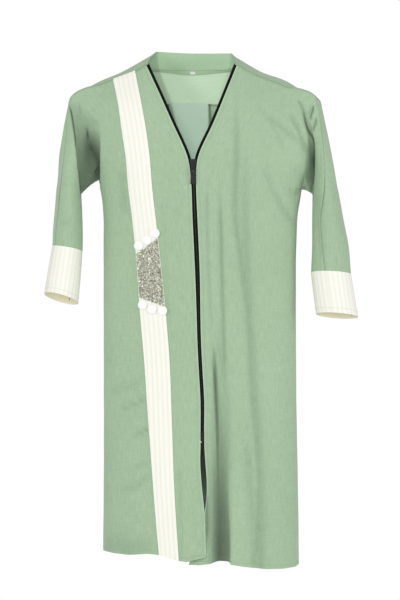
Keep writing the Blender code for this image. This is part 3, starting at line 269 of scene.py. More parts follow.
crepeFacts = {
    "roughness": 0.86,
    "sheen": 0.25,
    "threadPitch": 0.0008,
    "slub": 0.55,
    # painted shade: the dark colour that the cloth is mixed towards where its painted shade is full
    "paintedShadeColour": (0.016, 0.027, 0.016),
    "weaveDepth": 0.0004,
    # painted glow, standing in for daylight through the thin cloth: more from the first height up, in full
    # from the second, and least of all below
    "paintedGlow": (-0.34, -0.14, 0.15),
}


def makeCrepe(name):
    dark, light, crossRib, paintedGlow = crepeLooks[name]
    material, tree, shader = newMaterial(name, crepeFacts["roughness"], sheen=crepeFacts["sheen"])
    link = tree.links.new
    weave = placeGroup(tree, crepeGroup, clothMap(tree), Thread_Pitch=crepeFacts["threadPitch"],
                       Slub=crepeFacts["slub"], Cross_Rib=crossRib)
    # painted shade: each place keeps a painted shade value from its creases, hollows, seams and the insides,
    # for how deep in a fold it lies and how little light reaches it, and the colour is mixed towards a dark
    # green by it
    folds = tree.nodes.new("ShaderNodeAttribute")
    folds.attribute_name = "paintedShade"
    colour = shade(tree, weave.outputs["Tone"], dark, light)
    colour = mixColour(tree, folds.outputs["Fac"], colour, crepeFacts["paintedShadeColour"])
    link(colour, shader.inputs["Base Color"])
    addBump(tree, shader, weave.outputs["Height"], 0.35, crepeFacts["weaveDepth"])
    if paintedGlow:
        # painted glow: an emission in the cloth's own colour stands in for daylight coming through the thin
        # cloth, most near the neck
        place = tree.nodes.new("ShaderNodeTexCoord")
        apart = tree.nodes.new("ShaderNodeSeparateXYZ")
        link(place.outputs["Object"], apart.inputs[0])
        high = tree.nodes.new("ShaderNodeMapRange")
        for label, value in zip(("From Min", "From Max", "To Min"), crepeFacts["paintedGlow"]):
            high.inputs[label].default_value = value
        link(apart.outputs[2], high.inputs["Value"])
        link(mixColour(tree, high.outputs[0], (0.0, 0.0, 0.0), colour), shader.inputs["Emission Color"])
        shader.inputs["Emission Strength"].default_value = paintedGlow
    return material


stripedLook = {
    "roughness": 0.78,
    "sheen": 0.15,
    "threadPitch": 0.0006,
    "slub": 0.2,
    "between": (0.735, 0.730, 0.610),
    "stripe": (0.900, 0.885, 0.790),
    "threads": (0.93, 0.92, 0.86),
    "bandPitch": (0.0083, 0.002),        # pitch, and where the first stripe starts
    "cuffPitch": (0.0085, 0.0),
}


def makeStriped(name, pitch, start):
    material, tree, shader = newMaterial(name, stripedLook["roughness"], sheen=stripedLook["sheen"])
    vector = clothMap(tree)
    stripes = placeGroup(tree, stripeGroup, vector, Pitch=pitch, Start=start)
    weave = placeGroup(tree, crepeGroup, vector, Thread_Pitch=stripedLook["threadPitch"],
                       Slub=stripedLook["slub"], Cross_Rib=0.0)
    base = mixColour(tree, stripes.outputs["Stripe"], stripedLook["between"], stripedLook["stripe"])
    tone = mathNode(tree, "MULTIPLY_ADD", weave.outputs["Tone"], 0.25, 0.5)
    tree.links.new(mixColour(tree, tone, base, stripedLook["threads"]), shader.inputs["Base Color"])
    height = mathNode(tree, "MULTIPLY_ADD", stripes.outputs["Height"], 1.2,
                      mathNode(tree, "MULTIPLY", weave.outputs["Height"], 0.25))
    addBump(tree, shader, height, 0.35, 0.0005)
    return material


plainGrain = {"fine": 600.0, "fineDetail": 3.0, "wide": 90.0, "wideDetail": 2.0, "spread": 0.16}


def makePlain(name, dark, light, roughness, bump=0.0002, specular=0.4, paintedGlow=0.0):
    # a plain finish that still varies a little over the piece
    material, tree, shader = newMaterial(name, roughness, specular=specular)
    place = tree.nodes.new("ShaderNodeTexCoord")
    where = place.outputs["Object"]
    fineGrain = stretchedNoise(tree, where, (plainGrain["fine"],) * 3, plainGrain["fineDetail"])
    colour = mixColour(tree, fineGrain, dark, light)
    tree.links.new(colour, shader.inputs["Base Color"])
    # painted glow: an emission in the piece's own colour brightens it, standing in for light
    if paintedGlow:
        tree.links.new(colour, shader.inputs["Emission Color"])
        shader.inputs["Emission Strength"].default_value = paintedGlow
    wide = stretchedNoise(tree, where, (plainGrain["wide"],) * 3, plainGrain["wideDetail"])
    spread = plainGrain["spread"]
    rough = mathNode(tree, "MULTIPLY_ADD", wide, spread, roughness - spread / 2)
    tree.links.new(rough, shader.inputs["Roughness"])
    addBump(tree, shader, fineGrain, 0.4, bump)
    return material


# tones from dark to near white: partly the glitter's own colour, partly painted reflection and glint
sequinShades = ((0.0, (0.14, 0.145, 0.10)), (0.35, (0.37, 0.38, 0.28)), (0.75, (0.60, 0.61, 0.49)),
                (1.0, (0.98, 0.98, 0.92)))


sequinFinish = {"metallic": 0.35, "specular": 0.5}
sequinGlint = {"size": (700.0, 700.0, 700.0), "spread": 0.3, "smoothest": 0.25}


def makeSequin():
    # every sequin has its own tone, kept in an attribute; the tones are partly the glitter's own uneven
    # colour and partly painted, the near-white end glints and the dark end dark reflections
    material, tree, shader = newMaterial("sequin", 0.28, **sequinFinish)
    tint = tree.nodes.new("ShaderNodeAttribute")
    tint.attribute_name = "sequinToneAndGlint"
    ramp = tree.nodes.new("ShaderNodeValToRGB")
    tree.links.new(tint.outputs["Fac"], ramp.inputs[0])
    while len(ramp.color_ramp.elements) < len(sequinShades):
        ramp.color_ramp.elements.new(0.5)
    for element, (position, colour) in zip(ramp.color_ramp.elements, sequinShades):
        element.position = position
        element.color = (*colour, 1.0)
    place = tree.nodes.new("ShaderNodeTexCoord")
    glints = stretchedNoise(tree, place.outputs["Object"], sequinGlint["size"], 2.0)
    tree.links.new(ramp.outputs[0], shader.inputs["Base Color"])
    rough = mathNode(tree, "MULTIPLY_ADD", glints, sequinGlint["spread"], sequinGlint["smoothest"])
    tree.links.new(rough, shader.inputs["Roughness"])
    return material


looks = {name: makeCrepe(name) for name in crepeLooks}
for part in ("band", "cuff"):
    looks[part + "Stripes"] = makeStriped(part + "Stripes", *stripedLook[part + "Pitch"])
plainLooks = {
    # dark tone, light tone, roughness, anything else
    # painted light: the cuffs' inside glows a little, standing in for the light that falls into them
    "cuffInside": ((0.71, 0.67, 0.50), (0.83, 0.80, 0.64), 0.85, {"paintedGlow": 0.2}),
    "label": ((0.80, 0.80, 0.79), (0.92, 0.92, 0.91), 0.6, {}),
    "whiteDisc": ((0.90, 0.90, 0.89), (0.95, 0.95, 0.94), 0.32, {"bump": 0.00003}),
    "zipTape": ((0.004, 0.004, 0.0045), (0.010, 0.010, 0.0105), 0.85, {"specular": 0.12}),
    "zipCoil": ((0.006, 0.006, 0.0065), (0.015, 0.015, 0.016), 0.5, {"specular": 0.2}),
    "zipLacquer": ((0.005, 0.005, 0.0055), (0.016, 0.016, 0.017), 0.42, {"bump": 0.00005, "specular": 0.16}),
    "sageThread": ((0.22, 0.36, 0.23), (0.30, 0.45, 0.30), 0.7, {}),
    "brownThread": ((0.22, 0.16, 0.09), (0.36, 0.28, 0.17), 0.75, {}),
    "creamThread": ((0.42, 0.43, 0.40), (0.55, 0.56, 0.52), 0.7, {}),
    "whiteThread": ((0.78, 0.79, 0.76), (0.90, 0.90, 0.88), 0.6, {}),
    "patchGround": ((0.36, 0.36, 0.28), (0.48, 0.48, 0.38), 0.6, {}),
    "floorPaint": ((0.80, 0.80, 0.79), (0.84, 0.84, 0.83), 0.9, {}),
}
for name, (dark, light, roughness, extra) in plainLooks.items():
    looks[name] = makePlain(name, dark, light, roughness, **extra)
looks["sequin"] = makeSequin()
print("materials made:", len(looks))


# the garment's measures, in millimetres

clothFacts = {
    "thickness": 1.2,
    "firm": 1.6,
    "trim": 1.0,
    "seam": 0.3,
    "seamFade": 5.0 * fine,
}

bodyShape = {
    "roundness": 2.35,
    "sections": (
        # height, right, left, front, back
        (-190, -163.5, 187.0, 68.0, 64.5),
        (-205, -160.6, 183.0, 69.0, 65.0),
        (-225, -156.9, 180.0, 70.0, 65.0),
        (-250, -154.6, 176.2, 70.0, 65.0),
        (-300, -153.9, 174.0, 70.0, 65.0),
        (-400, -153.3, 173.4, 70.5, 65.5),
        (-540, -153.0, 173.9, 71.5, 66.5),
        (-700, -153.2, 176.2, 73.5, 68.5),
        (-860, -155.2, 178.0, 76.0, 71.0),
    ),
    "rightSidePoint": (-160.8, -194.2),
    "leftSidePoint": (181.2, -209.8),
    "underarmLevel": -205.0,
    "underarmArch": 3.0,
    "hemLevel": -840.0,
    "backMiddle": -9.4,
    "rightBlade": -112.0,
    "leftBlade": 117.0,
    "leftFrontMiddle": (
        # height, x
        (-205, 52.0),
        (-480, 57.0),
        (-860, 64.0),
    ),
    "frontEdges": (
        # height, right front, left front
        (-150, -13.3, 10.0),
        (-166, -7.2, 4.6),
        (-180, -5.6, 3.6),
        (-204, -4.5, 3.8),
        (-262, -2.5, 6.1),
        (-313, -0.1, 8.5),
        (-364, 2.2, 10.3),
        (-415, 4.0, 11.0),
        (-466, 5.5, 12.1),
        (-517, 8.0, 14.7),
        (-568, 10.8, 17.5),
        (-620, 10.9, 17.4),
        (-640, 11.0, 17.6),
        (-671, 10.4, 19.4),
        (-702, 12.2, 21.6),
        (-738, 15.8, 20.7),
        (-765, 18.4, 16.0),
        (-800, 19.4, 4.5),
        (-850, 21.0, -10.5),
    ),
    "slitTop": -650.0,
    "slitDepth": 8.5,
    "slitRun": 110.0,
    "slitWidth": 34.0,
    "rightHem": ((-155, -823), (-134, -826.5), (-110, -828.7), (-77, -826.5), (-60, -828), (-25, -838.5),
                 (-12, -840), (21, -832.5)),
    "leftHem": ((-10.5, -845), (9, -845.5), (28, -843.3), (45, -838.8), (55, -840), (63, -845), (86, -848.7),
                (121, -852.5), (150, -852.5), (171, -850), (178, -846)),
    "backHem": ((-155, -823), (-120, -824), (-9, -826), (120, -838), (178, -846)),
}

mainFolds = {
    "entry": 60.0,
    "leftFront": (
        # x top, z top, x bottom, z bottom, spread right, spread left, depth top, depth bottom
        (38.5, -480, 47.5, -850, 18, 14, 0.6, 10.0),
        (92.0, -600, 99.0, -852, 24, 26, 0.5, 4.0),
    ),
    "rightFront": (
        (-8.0, -690, -2.0, -842, 20, 16, 0.3, 2.5),
        (-128.0, -560, -124.0, -830, 18, 20, 0.3, 3.0),
    ),
    "back": (
        (-9.4, -40, -9.4, -860, 13, 13, 2.2, 3.2),
        (-78.0, -420, -84.0, -826, 24, 28, 0.5, 5.5),
        (74.0, -360, 82.0, -836, 28, 24, 0.5, 6.5),
        (132.0, -560, 128.0, -846, 18, 16, 0.3, 3.5),
    ),
}

upperLines = {
    "rightFront": (
        # line, faces to the next line, shoulder seam, upper chest, chest, lower chest
        ("front edge", 4, (-81.8, -24, 2), (-60.5, -44, -44), (-36.5, -58, -98), (-11.1, -66.5, -156)),
        ("band inside", 4, (-100, -20.5, -8.2), (-89.8, -45, -60), (-81, -57.8, -110), (-74.5, -64.2, -160)),
        ("band outside", 3, (-137.3, -15, -22.4), (-128.4, -38.6, -66), (-121.6, -50.6, -113),
         (-114.6, -56.4, -160)),
        ("flank", 3, (-154, -12.5, -29.2), (-149, -32, -67), (-145, -42, -113), (-143, -45, -158)),
        ("chest side", 2, (-169, -10.5, -33.2), (-165, -26, -69), (-161, -34, -113), (-160, -31, -156)),
        ("underarm", 1, (-181, -8.5, -35.8), (-181, -20, -73), (-177, -25, -115), (-174.5, -15, -158)),
        ("sleeve inside", 2, (-190.5, -7, -39.2), (-196, -15, -76), (-194, -28, -117), (-190, -24, -160)),
        ("sleeve fold", 2, (-198.5, -5.5, -43), (-207, -12.5, -77), (-204.5, -31, -118), (-199, -37, -161)),
        ("sleeve front", 3, (-204.5, -4.5, -47.2), (-212.6, -10, -77.5), (-212, -28, -119),
         (-210.5, -40, -161)),
        ("over-arm seam", 0, (-209, -3.5, -51.8), (-215.3, -7, -78), (-217.8, -19, -121),
         (-221.5, -29, -161)),
    ),
    "leftFront": (
        ("front edge", 6, (73.6, -23, 2.5), (55, -44, -44), (32.9, -58, -98), (7.2, -66.5, -156)),
        ("front middle", 3, (92.5, -21.5, -8.8), (84, -47, -60), (70, -60, -110), (58, -67, -160)),
        ("chest", 3, (118, -19.5, -20.2), (114, -41, -65), (108, -55, -113), (103, -62.5, -161)),
        ("flank", 4, (141, -18.5, -28.6), (145, -35, -69), (147, -46, -115), (148, -51, -163)),
        ("chest side", 2, (162, -17.5, -37), (168, -29, -73), (180, -36, -116), (190, -31, -164)),
        ("underarm", 1, (176, -17.5, -37.6), (183, -25, -76), (195, -29, -115), (203.5, -17, -165)),
        ("sleeve inside", 2, (187, -17.5, -40.4), (193.5, -24, -79), (203.5, -33, -117), (208.5, -32, -166)),
        ("sleeve fold", 3, (197.5, -17.5, -44.4), (204, -23, -82), (211.5, -36, -119), (214.5, -39, -167)),
        ("over-arm seam", 0, (206, -18, -50.6), (213.5, -21, -84), (218.4, -35, -121), (221.6, -42.5, -168)),
    ),
    "rightBack": (
        # line, faces to the next line, yoke seam, shoulder blade, upper back
        ("back middle", 3, (-9.4, 57, -62), (-9.4, 63, -110), (-9.4, 65, -160)),
        ("mid back", 3, (-60, 56, -62), (-60, 62, -110), (-60, 64, -160)),
        ("shoulder blade", 2, (-112, 51, -62), (-113, 57, -111), (-113, 57, -160)),
        ("flank", 2, (-143, 44, -62), (-145, 48, -112), (-144, 45, -159)),
        ("back side", 2, (-163, 38, -62), (-164, 37, -113), (-161, 30, -157)),
        ("underarm", 1, (-180, 32, -62), (-179, 28, -115), (-175, 14, -158)),
        ("sleeve inside", 2, (-191, 27, -61.5), (-194, 31, -117), (-190, 24, -160)),
        ("sleeve back", 3, (-204, 18, -60.5), (-210, 29, -118), (-208, 38, -161)),
        ("sleeve outside", 4, (-212, 6, -58), (-222.6, 2, -119), (-228, 1, -161)),
        ("over-arm seam", 0, (-209, -3.5, -51.8), (-217.8, -19, -121), (-221.5, -29, -161)),
    ),
    "leftBack": (
        ("back middle", 3, (-9.4, 57, -62), (-9.4, 63, -110), (-9.4, 65, -160)),
        ("mid back", 3, (50, 56, -62), (52, 62, -110), (54, 64, -160)),
        ("shoulder blade", 2, (104, 51, -62.5), (110, 57, -112), (115, 58, -161)),
        ("flank", 2, (138, 44, -63), (148, 48, -114), (155, 46, -163)),
        ("back side", 2, (160, 38, -64), (175, 37, -116), (186, 29, -165)),
        ("underarm", 1, (178, 32, -65), (192, 29, -116), (201, 14, -166)),
        ("sleeve inside", 2, (191, 27, -66), (204, 32, -118), (209, 26, -167)),
        ("sleeve back", 4, (206, 18, -67), (217, 32, -120), (221, 38, -168)),
        ("sleeve outside", 6, (215.5, 3, -62), (228.3, 0, -121), (236.5, 0, -168)),
        ("over-arm seam", 0, (206, -18, -50.6), (218.4, -35, -121), (221.6, -42.5, -168)),
    ),
}

sleeveRings = {
    "right": (
        # inner x, inner z, outer x, outer z, middle y, half depth, lean, seam angle
        (-192, -217.8, -233.5, -208, 0, 43.5, 2, 48),
        (-190, -252, -236.6, -244.5, -3.5, 41, 3, 43),
        (-188.8, -286, -239.4, -277.5, -8.5, 38.5, 4, 38),
        (-189.2, -314.8, -240.9, -306, -13.5, 37, 5, 36),
    ),
    "rightCuff": (
        (-189.2, -314.8, -240.9, -306, -13.5, 37, 5, 36),
        (-192.2, -359, -247.8, -347, -20, 36.8, 8, 36),
        (-196.2, -403, -254, -387, -27, 36.5, 11, 36),
    ),
    "left": (
        (201.6, -218.6, 246.6, -217, 0, 44.5, 2, 101),
        (200.8, -262, 254.9, -262, -5, 41, 3.5, 121),
        (200.3, -306, 263.4, -307, -11, 36.5, 5.5, 119),
        (198.2, -351, 266.7, -354, -18, 32, 8, 109),
    ),
    "leftCuff": (
        (198.2, -351, 266.7, -354, -18, 32, 8, 109),
        (202.2, -386, 272.4, -390, -23.5, 31.2, 8.6, 109),
        (207, -421.5, 278.4, -426.8, -29, 30.5, 9.2, 109),
    ),
}

yokeShape = {
    "lines": (
        # line, share of the way round, neck edge, third of the way, two thirds of the way
        ("right seam", 0.0, (-81.8, -24, 2), (-120, -17.5, -16), (-168, -10.6, -32)),
        ("right ridge", 0.085, (-83, 0, 12.0), (-121, 4, -9.2), (-170, 6, -32.2)),
        ("right rear shoulder", 0.2, (-74, 25, -1.2), (-113, 24, -13), (-160, 27, -41)),
        ("right back", 0.34, (-42, 44, -3.8), (-68, 46, -19), (-102, 48, -40)),
        ("back middle", 0.5, (-6, 50, -4.6), (-7, 52.5, -23), (-8.5, 55, -42)),
        ("left back", 0.65, (34, 44, -4), (56, 46, -20), (88, 48, -41)),
        ("left rear shoulder", 0.79, (66, 25, -1.2), (104, 24, -14), (152, 27, -44)),
        ("left ridge", 0.905, (75.5, 0, 12.3), (113, 4, -9.2), (164, 5, -29.8)),
        ("left seam", 1.0, (73.6, -23, 2.5), (114, -19.8, -18.8), (166, -17.5, -38.8)),
    ),
    "levels": (0.0, 0.3, 0.68, 1.0),
    "endBlend": 0.1,
}

collarShape = {
    "top": (
        # share of the way round, x, y, z
        (0.0, -80.3, -24.6, 4.0),
        (0.07, -73.5, -10, 15.5),
        (0.14, -66.0, 6, 23.2),
        (0.24, -61.5, 22, 25.0),
        (0.36, -36, 38, 24.2),
        (0.5, -3, 43.5, 23.0),
        (0.64, 32, 38, 22.8),
        (0.76, 63.2, 22, 22.2),
        (0.86, 65.2, 6, 20.6),
        (0.93, 69.5, -10, 14.5),
        (1.0, 72.3, -23.6, 5.0),
    ),
    "rows": 3 * fine,
}

bandShape = {
    "edges": (
        # height, outer edge, inner edge
        (-160, -114.6, -74.5),
        (-205, -111.0, -70.8),
        (-262, -103.7, -64.4),
        (-320, -97.8, -57.6),
        (-417, -91.0, -47.9),
        (-495, -84.2, -41.4),
        (-593, -77.4, -37.6),
        (-704, -69.2, -33.8),
        (-775, -63.6, -30.1),
        (-850, -57.0, -25.3),
    ),
    "patchTop": (-320.3, -294.6),
    "patchBottom": (-393.6, -408.0),
    "patchMargin": 0.1 * fine,
    "first": 4 * fine,
    "last": 8 * fine,
}

meshFaces = {
    "upperRows": 8 * fine,
    "bodyRows": 18 * fine,
    "sleeveRows": 4 * fine,
    "cuffRows": 3 * fine,
    "rightFront": (4 * fine, 4 * fine, 6 * fine),
    "leftFront": (6 * fine, 10 * fine),
    "back": (6 * fine, 4 * fine),
}


# laying the cloth

def curveThrough(keys, values, at):
    # a smooth curve through values at rising keys, read at one or more keys
    keys = np.asarray(keys, dtype=float)
    values = np.asarray(values, dtype=float)
    at = np.atleast_1d(np.asarray(at, dtype=float))
    slopes = np.gradient(values, keys, axis=0)
    left = np.clip(np.searchsorted(keys, at, side="right") - 1, 0, len(keys) - 2)
    step = keys[left + 1] - keys[left]
    t = np.clip((at - keys[left]) / step, 0.0, 1.0)
    shape = (-1,) + (1,) * (values.ndim - 1)
    t = t.reshape(shape)
    step = step.reshape(shape)
    start, end = values[left], values[left + 1]
    startSlope, endSlope = slopes[left] * step, slopes[left + 1] * step
    return ((2 * t**3 - 3 * t**2 + 1) * start + (t**3 - 2 * t**2 + t) * startSlope
            + (3 * t**2 - 2 * t**3) * end + (t**3 - t**2) * endSlope)


def fromTable(table, column, height):
    # one column of a table whose first column is a falling height
    rows = np.array(table, dtype=float)[::-1]
    height = np.atleast_1d(np.asarray(height, dtype=float))
    return curveThrough(rows[:, 0], rows[:, column], height.ravel()).reshape(height.shape)


def rise(value, start, run):
    # from 0 where the value passes its start to 1 after its run, without corners
    return smoothStep((value - start) / run)


def smoothStep(share):
    share = np.clip(share, 0.0, 1.0)
    return share * share * (3.0 - 2.0 * share)


def runLength(points):
    return np.concatenate([[0.0], np.cumsum(np.linalg.norm(np.diff(points, axis=0), axis=1))])


def chordShares(points):
    # how far along a row of points each one lies, from 0 to 1
    lengths = np.linalg.norm(np.diff(points, axis=0), axis=1)
    return np.concatenate([[0.0], np.cumsum(lengths)]) / lengths.sum()


def readRow(at, keys, points):
    # points read along a row, between the points that lie at rising keys
    return np.stack([np.interp(at, keys, points[:, axis]) for axis in range(3)], axis=-1)


def sheetThrough(cage, levelAt, stationKeys, stationAt):
    # a smooth sheet through a cage of levels and lines
    levels = curveThrough(np.arange(len(cage)), cage, levelAt)
    return np.swapaxes(curveThrough(stationKeys, np.swapaxes(levels, 0, 1), stationAt), 0, 1)


def unit(vectors):
    return vectors / np.maximum(np.linalg.norm(vectors, axis=-1, keepdims=True), 1e-9)


def bodySize(height):
    # middle, half width, front depth and back depth of the body at a height
    right, left, front, back = (fromTable(bodyShape["sections"], column, height) for column in (1, 2, 3, 4))
    return (right + left) / 2, (left - right) / 2, front, back


def foldDepth(folds, x, height):
    # how deep the folds of a table press the cloth in at a place
    depth = np.zeros(np.broadcast(x, height).shape)
    for xTop, zTop, xBottom, zBottom, spreadRight, spreadLeft, top, bottom in folds:
        run = np.clip((zTop - height) / (zTop - zBottom), 0.0, 1.0)
        offset = x - (xTop + (xBottom - xTop) * run)
        spread = np.where(offset < 0, spreadRight, spreadLeft)
        profile = smoothStep(1.0 - np.abs(offset) / spread)
        entry = smoothStep((zTop - height) / mainFolds["entry"])
        depth = depth + profile * entry * (top + (bottom - top) * run)
    return depth


def bodySkin(x, height, face, folds):
    # the outside of the body at x and a height: face is -1 in front and 1 behind
    middle, halfWidth, front, back = bodySize(height)
    across = np.clip(np.abs((x - middle) / halfWidth), 0.0, 1.0)
    swell = (1.0 - across**bodyShape["roundness"]) ** (1.0 / bodyShape["roundness"])
    depth = np.where(face < 0, front, back) * swell
    return face * (depth - foldDepth(folds, x, height) * swell**2)


def sideColumns(height, start, side, count):
    # x of columns that go round from start to a side seam, closer together as the body turns
    middle, halfWidth, _, _ = bodySize(height)
    first = np.arcsin(np.clip(np.abs(start - middle) / halfWidth, 0, 1) ** (bodyShape["roundness"] / 2))
    angles = first + (math.pi / 2 - first) * np.linspace(0.0, 1.0, count + 1)[:, None]
    return middle + side * halfWidth * np.sin(angles) ** (2 / bodyShape["roundness"])


def spaced(start, end, count):
    return start + (end - start) * np.linspace(0.0, 1.0, count + 1)[:, None]


def rightFrontColumns(height):
    edge = fromTable(bodyShape["frontEdges"], 1, height)
    inner = fromTable(bandShape["edges"], 2, height)
    outer = fromTable(bandShape["edges"], 1, height)
    toBand, overBand, toSide = meshFaces["rightFront"]
    return np.concatenate([spaced(edge, inner, toBand)[:-1], spaced(inner, outer, overBand)[:-1],
                           sideColumns(height, outer, -1, toSide)])


def leftFrontColumns(height):
    edge = fromTable(bodyShape["frontEdges"], 2, height)
    middle = fromTable(bodyShape["leftFrontMiddle"], 1, height)
    toMiddle, toSide = meshFaces["leftFront"]
    return np.concatenate([spaced(edge, middle, toMiddle)[:-1], sideColumns(height, middle, 1, toSide)])


def backColumns(blade, side):
    def columns(height):
        middle = np.full_like(height, bodyShape["backMiddle"])
        toBlade, toSide = meshFaces["back"]
        across = spaced(middle, np.full_like(height, blade), toBlade)[:-1]
        return np.concatenate([across, sideColumns(height, np.full_like(height, blade), side, toSide)])

    return columns


def slitOverlap(grid, edgeColumn):
    # below the zip the left front falls behind the right one
    edge = fromTable(bodyShape["frontEdges"], edgeColumn, grid[..., 2])
    near = smoothStep(1.0 - (grid[..., 0] - edge) / bodyShape["slitWidth"])
    run = smoothStep((bodyShape["slitTop"] - grid[..., 2]) / bodyShape["slitRun"])
    grid[..., 1] += bodyShape["slitDepth"] * near * run


def ringAt(rings, share, angles):
    # points and outward normals of a sleeve ring; share runs down the table, angles are degrees
    keys = np.linspace(0.0, 1.0, len(rings))
    innerX, innerZ, outerX, outerZ, middleY, halfDepth, lean, _ = curveThrough(keys, rings, share)[0]
    inner = np.array([innerX, middleY, innerZ])
    outer = np.array([outerX, middleY, outerZ])
    across = (outer - inner) / 2
    halfWidth = np.linalg.norm(across)
    tilt = math.radians(lean)
    forward = np.array([0.0, -math.cos(tilt), math.sin(tilt)])
    turn = np.radians(angles)[:, None]
    points = (inner + outer) / 2 + across * np.cos(turn) + halfDepth * forward * np.sin(turn)
    normals = unit(across / halfWidth**2 * np.cos(turn) + forward / halfDepth * np.sin(turn))
    return points, normals


def seamAngle(rings, share):
    return curveThrough(np.linspace(0.0, 1.0, len(rings)), rings, share)[0][7]


def sleeveAngles(rings, share, face, count):
    # from the inside of the arm over its front, or round behind it, to the over-arm seam
    return np.linspace(180.0, seamAngle(rings, share) + (360.0 if face > 0 else 0.0), count + 1)


class Half:
    # one front, or one half of the back, as three sheets that share the row at the underarm

    def __init__(self, lines, columns, face, folds, hem, rings, overArm=None):
        self.face = face
        counts = [line[1] * fine for line in lines]
        names = [line[0] for line in lines]
        self.bodyCount = sum(counts[:names.index("underarm") - 1])
        self.sleeveStart = sum(counts[:names.index("sleeve inside")])
        self.count = sum(counts)
        sleeveCount = self.count - self.sleeveStart
        sideX, sideZ = bodyShape["rightSidePoint"] if rings[0][0] < 0 else bodyShape["leftSidePoint"]

        body = self.bodySheet(columns, folds, hem, sideZ)
        sleeve, sleeveNormals = self.sleeveSheet(rings, sleeveCount)
        self.upper = self.upperSheet(lines, counts, body, sleeve, sideX, sideZ)
        if overArm is not None:
            fade = (np.arange(self.count + 1) - self.count) / clothFacts["seamFade"] + 1.0
            fade = np.clip(fade, 0.0, 1.0) ** 2
            self.upper += fade[None, :, None] * (overArm - self.upper[:, -1])[:, None, :]
        self.body = np.concatenate([self.upper[-1:, :self.bodyCount + 1], body[1:]])
        self.sleeve = np.concatenate([self.upper[-1:, self.sleeveStart:], sleeve[1:]])
        self.findNormals(sleeveNormals)

    def bodySheet(self, columns, folds, hem, sideZ):
        first = columns(np.full(1, bodyShape["underarmLevel"]))[:, 0]
        last = columns(np.full(1, bodyShape["hemLevel"]))[:, 0]
        reach = np.abs(first - first[0]) / abs(first[-1] - first[0])
        tops = bodyShape["underarmLevel"] + (sideZ - bodyShape["underarmLevel"]) * smoothStep(reach)
        hemX, hemZ = np.array(hem, dtype=float).T
        bottoms = np.interp(last, hemX, hemZ)
        everyColumn = np.arange(len(first))
        rows = []
        for share in np.linspace(0.0, 1.0, meshFaces["bodyRows"] + 1):
            heights = tops + (bottoms - tops) * share
            x = columns(heights)[everyColumn, everyColumn]
            y = bodySkin(x, heights, self.face, folds)
            rows.append(np.stack([x, y, heights], axis=1))
        return np.array(rows)

    def sleeveSheet(self, rings, count):
        shares = np.linspace(0.0, 1.0, meshFaces["sleeveRows"] + 1)
        rows = [ringAt(rings, share, sleeveAngles(rings, share, self.face, count)) for share in shares]
        points, normals = zip(*rows)
        return np.array(points), np.array(normals)

    def edge(self, name, place):
        # points and normals along one edge of a sheet, still part of the sheet
        return getattr(self, name)[place], getattr(self, name + "Normals")[place]

    def upperSheet(self, lines, counts, body, sleeve, sideX, sideZ):
        # the named lines, the underarm row and one more row below it that only guides the curve
        table = np.array([line[2:] for line in lines], dtype=float).swapaxes(0, 1)
        levels = len(table)
        starts = np.concatenate([[0], np.cumsum(counts[:-1])])
        inner = sleeve[0][0]
        share = np.linspace(0.0, 1.0, self.sleeveStart - self.bodyCount + 1)
        arch = bodyShape["underarmArch"] * np.sin(math.pi * share)
        bridge = np.stack([sideX + (inner[0] - sideX) * share, np.zeros(len(share)),
                           sideZ + (inner[2] - sideZ) * share + arch], axis=1)
        target = np.concatenate([body[0], bridge[1:-1], sleeve[0]])
        guide = np.concatenate([body[fine], bridge[1:-1], sleeve[fine]])
        stationRow = target[starts]
        guideRow = guide[starts]
        under = [line[0] for line in lines].index("underarm")
        guideRow[under] = table[-1][under] * np.array([1.0, -1.0, 1.0])
        cage = np.concatenate([table, stationRow[None], guideRow[None]])
        keys = np.mean([chordShares(row) for row in cage[:-1]], axis=0)
        at = np.concatenate([np.linspace(keys[i], keys[i + 1], count + 1)[:-1]
                             for i, count in enumerate(counts) if count] + [[1.0]])
        sheet = sheetThrough(cage, np.linspace(0.0, levels, meshFaces["upperRows"] + 1), keys, at)
        ease = (np.linspace(0.0, 1.0, meshFaces["upperRows"] + 1) ** 3)[:, None, None]
        return sheet + ease * (target - sheet[-1])

    def findNormals(self, sleeveNormals):
        upper = self.upper
        down = np.gradient(upper, axis=0)
        down[-1, :self.bodyCount + 1] = (self.body[1] - upper[-2, :self.bodyCount + 1]) / 2
        down[-1, self.sleeveStart:] = (self.sleeve[1] - upper[-2, self.sleeveStart:]) / 2
        along = np.gradient(upper, axis=1)
        self.upperNormals = self.outward(np.cross(down, along))
        longer = np.concatenate([upper[-2:-1, :self.bodyCount + 1], self.body])
        down = np.gradient(longer, axis=0)[1:]
        along = np.gradient(self.body, axis=1)
        self.bodyNormals = self.outward(np.cross(down, along))
        self.sleeveNormals = sleeveNormals
        mixed = unit(self.upperNormals[-1, self.sleeveStart:] + sleeveNormals[0])
        self.upperNormals[-1, self.sleeveStart:] = mixed
        self.sleeveNormals[0] = mixed
        self.bodyNormals[0] = self.upperNormals[-1, :self.bodyCount + 1]

    def outward(self, normals):
        # grids run either way round; the middle of the sheet tells which way is out
        normals = unit(normals)
        sample = normals[len(normals) // 2, normals.shape[1] // 3]
        return normals if sample[1] * self.face > 0 else -normals


def shareSeam(firstPoints, firstNormals, secondPoints, secondNormals):
    # both sides of a seam take the mean of their normals, so that their walls stand side by side
    firstAt = chordShares(firstPoints)
    secondAt = chordShares(secondPoints)
    firstMean = unit(firstNormals + readRow(firstAt, secondAt, secondNormals))
    secondMean = unit(secondNormals + readRow(secondAt, firstAt, firstNormals))
    firstNormals[:] = firstMean
    secondNormals[:] = secondMean


def drawBack(points, inner, gap=clothFacts["seam"] / 2):
    # move an edge back from its seam, towards the next row of its own sheet
    points += unit(inner - points) * gap


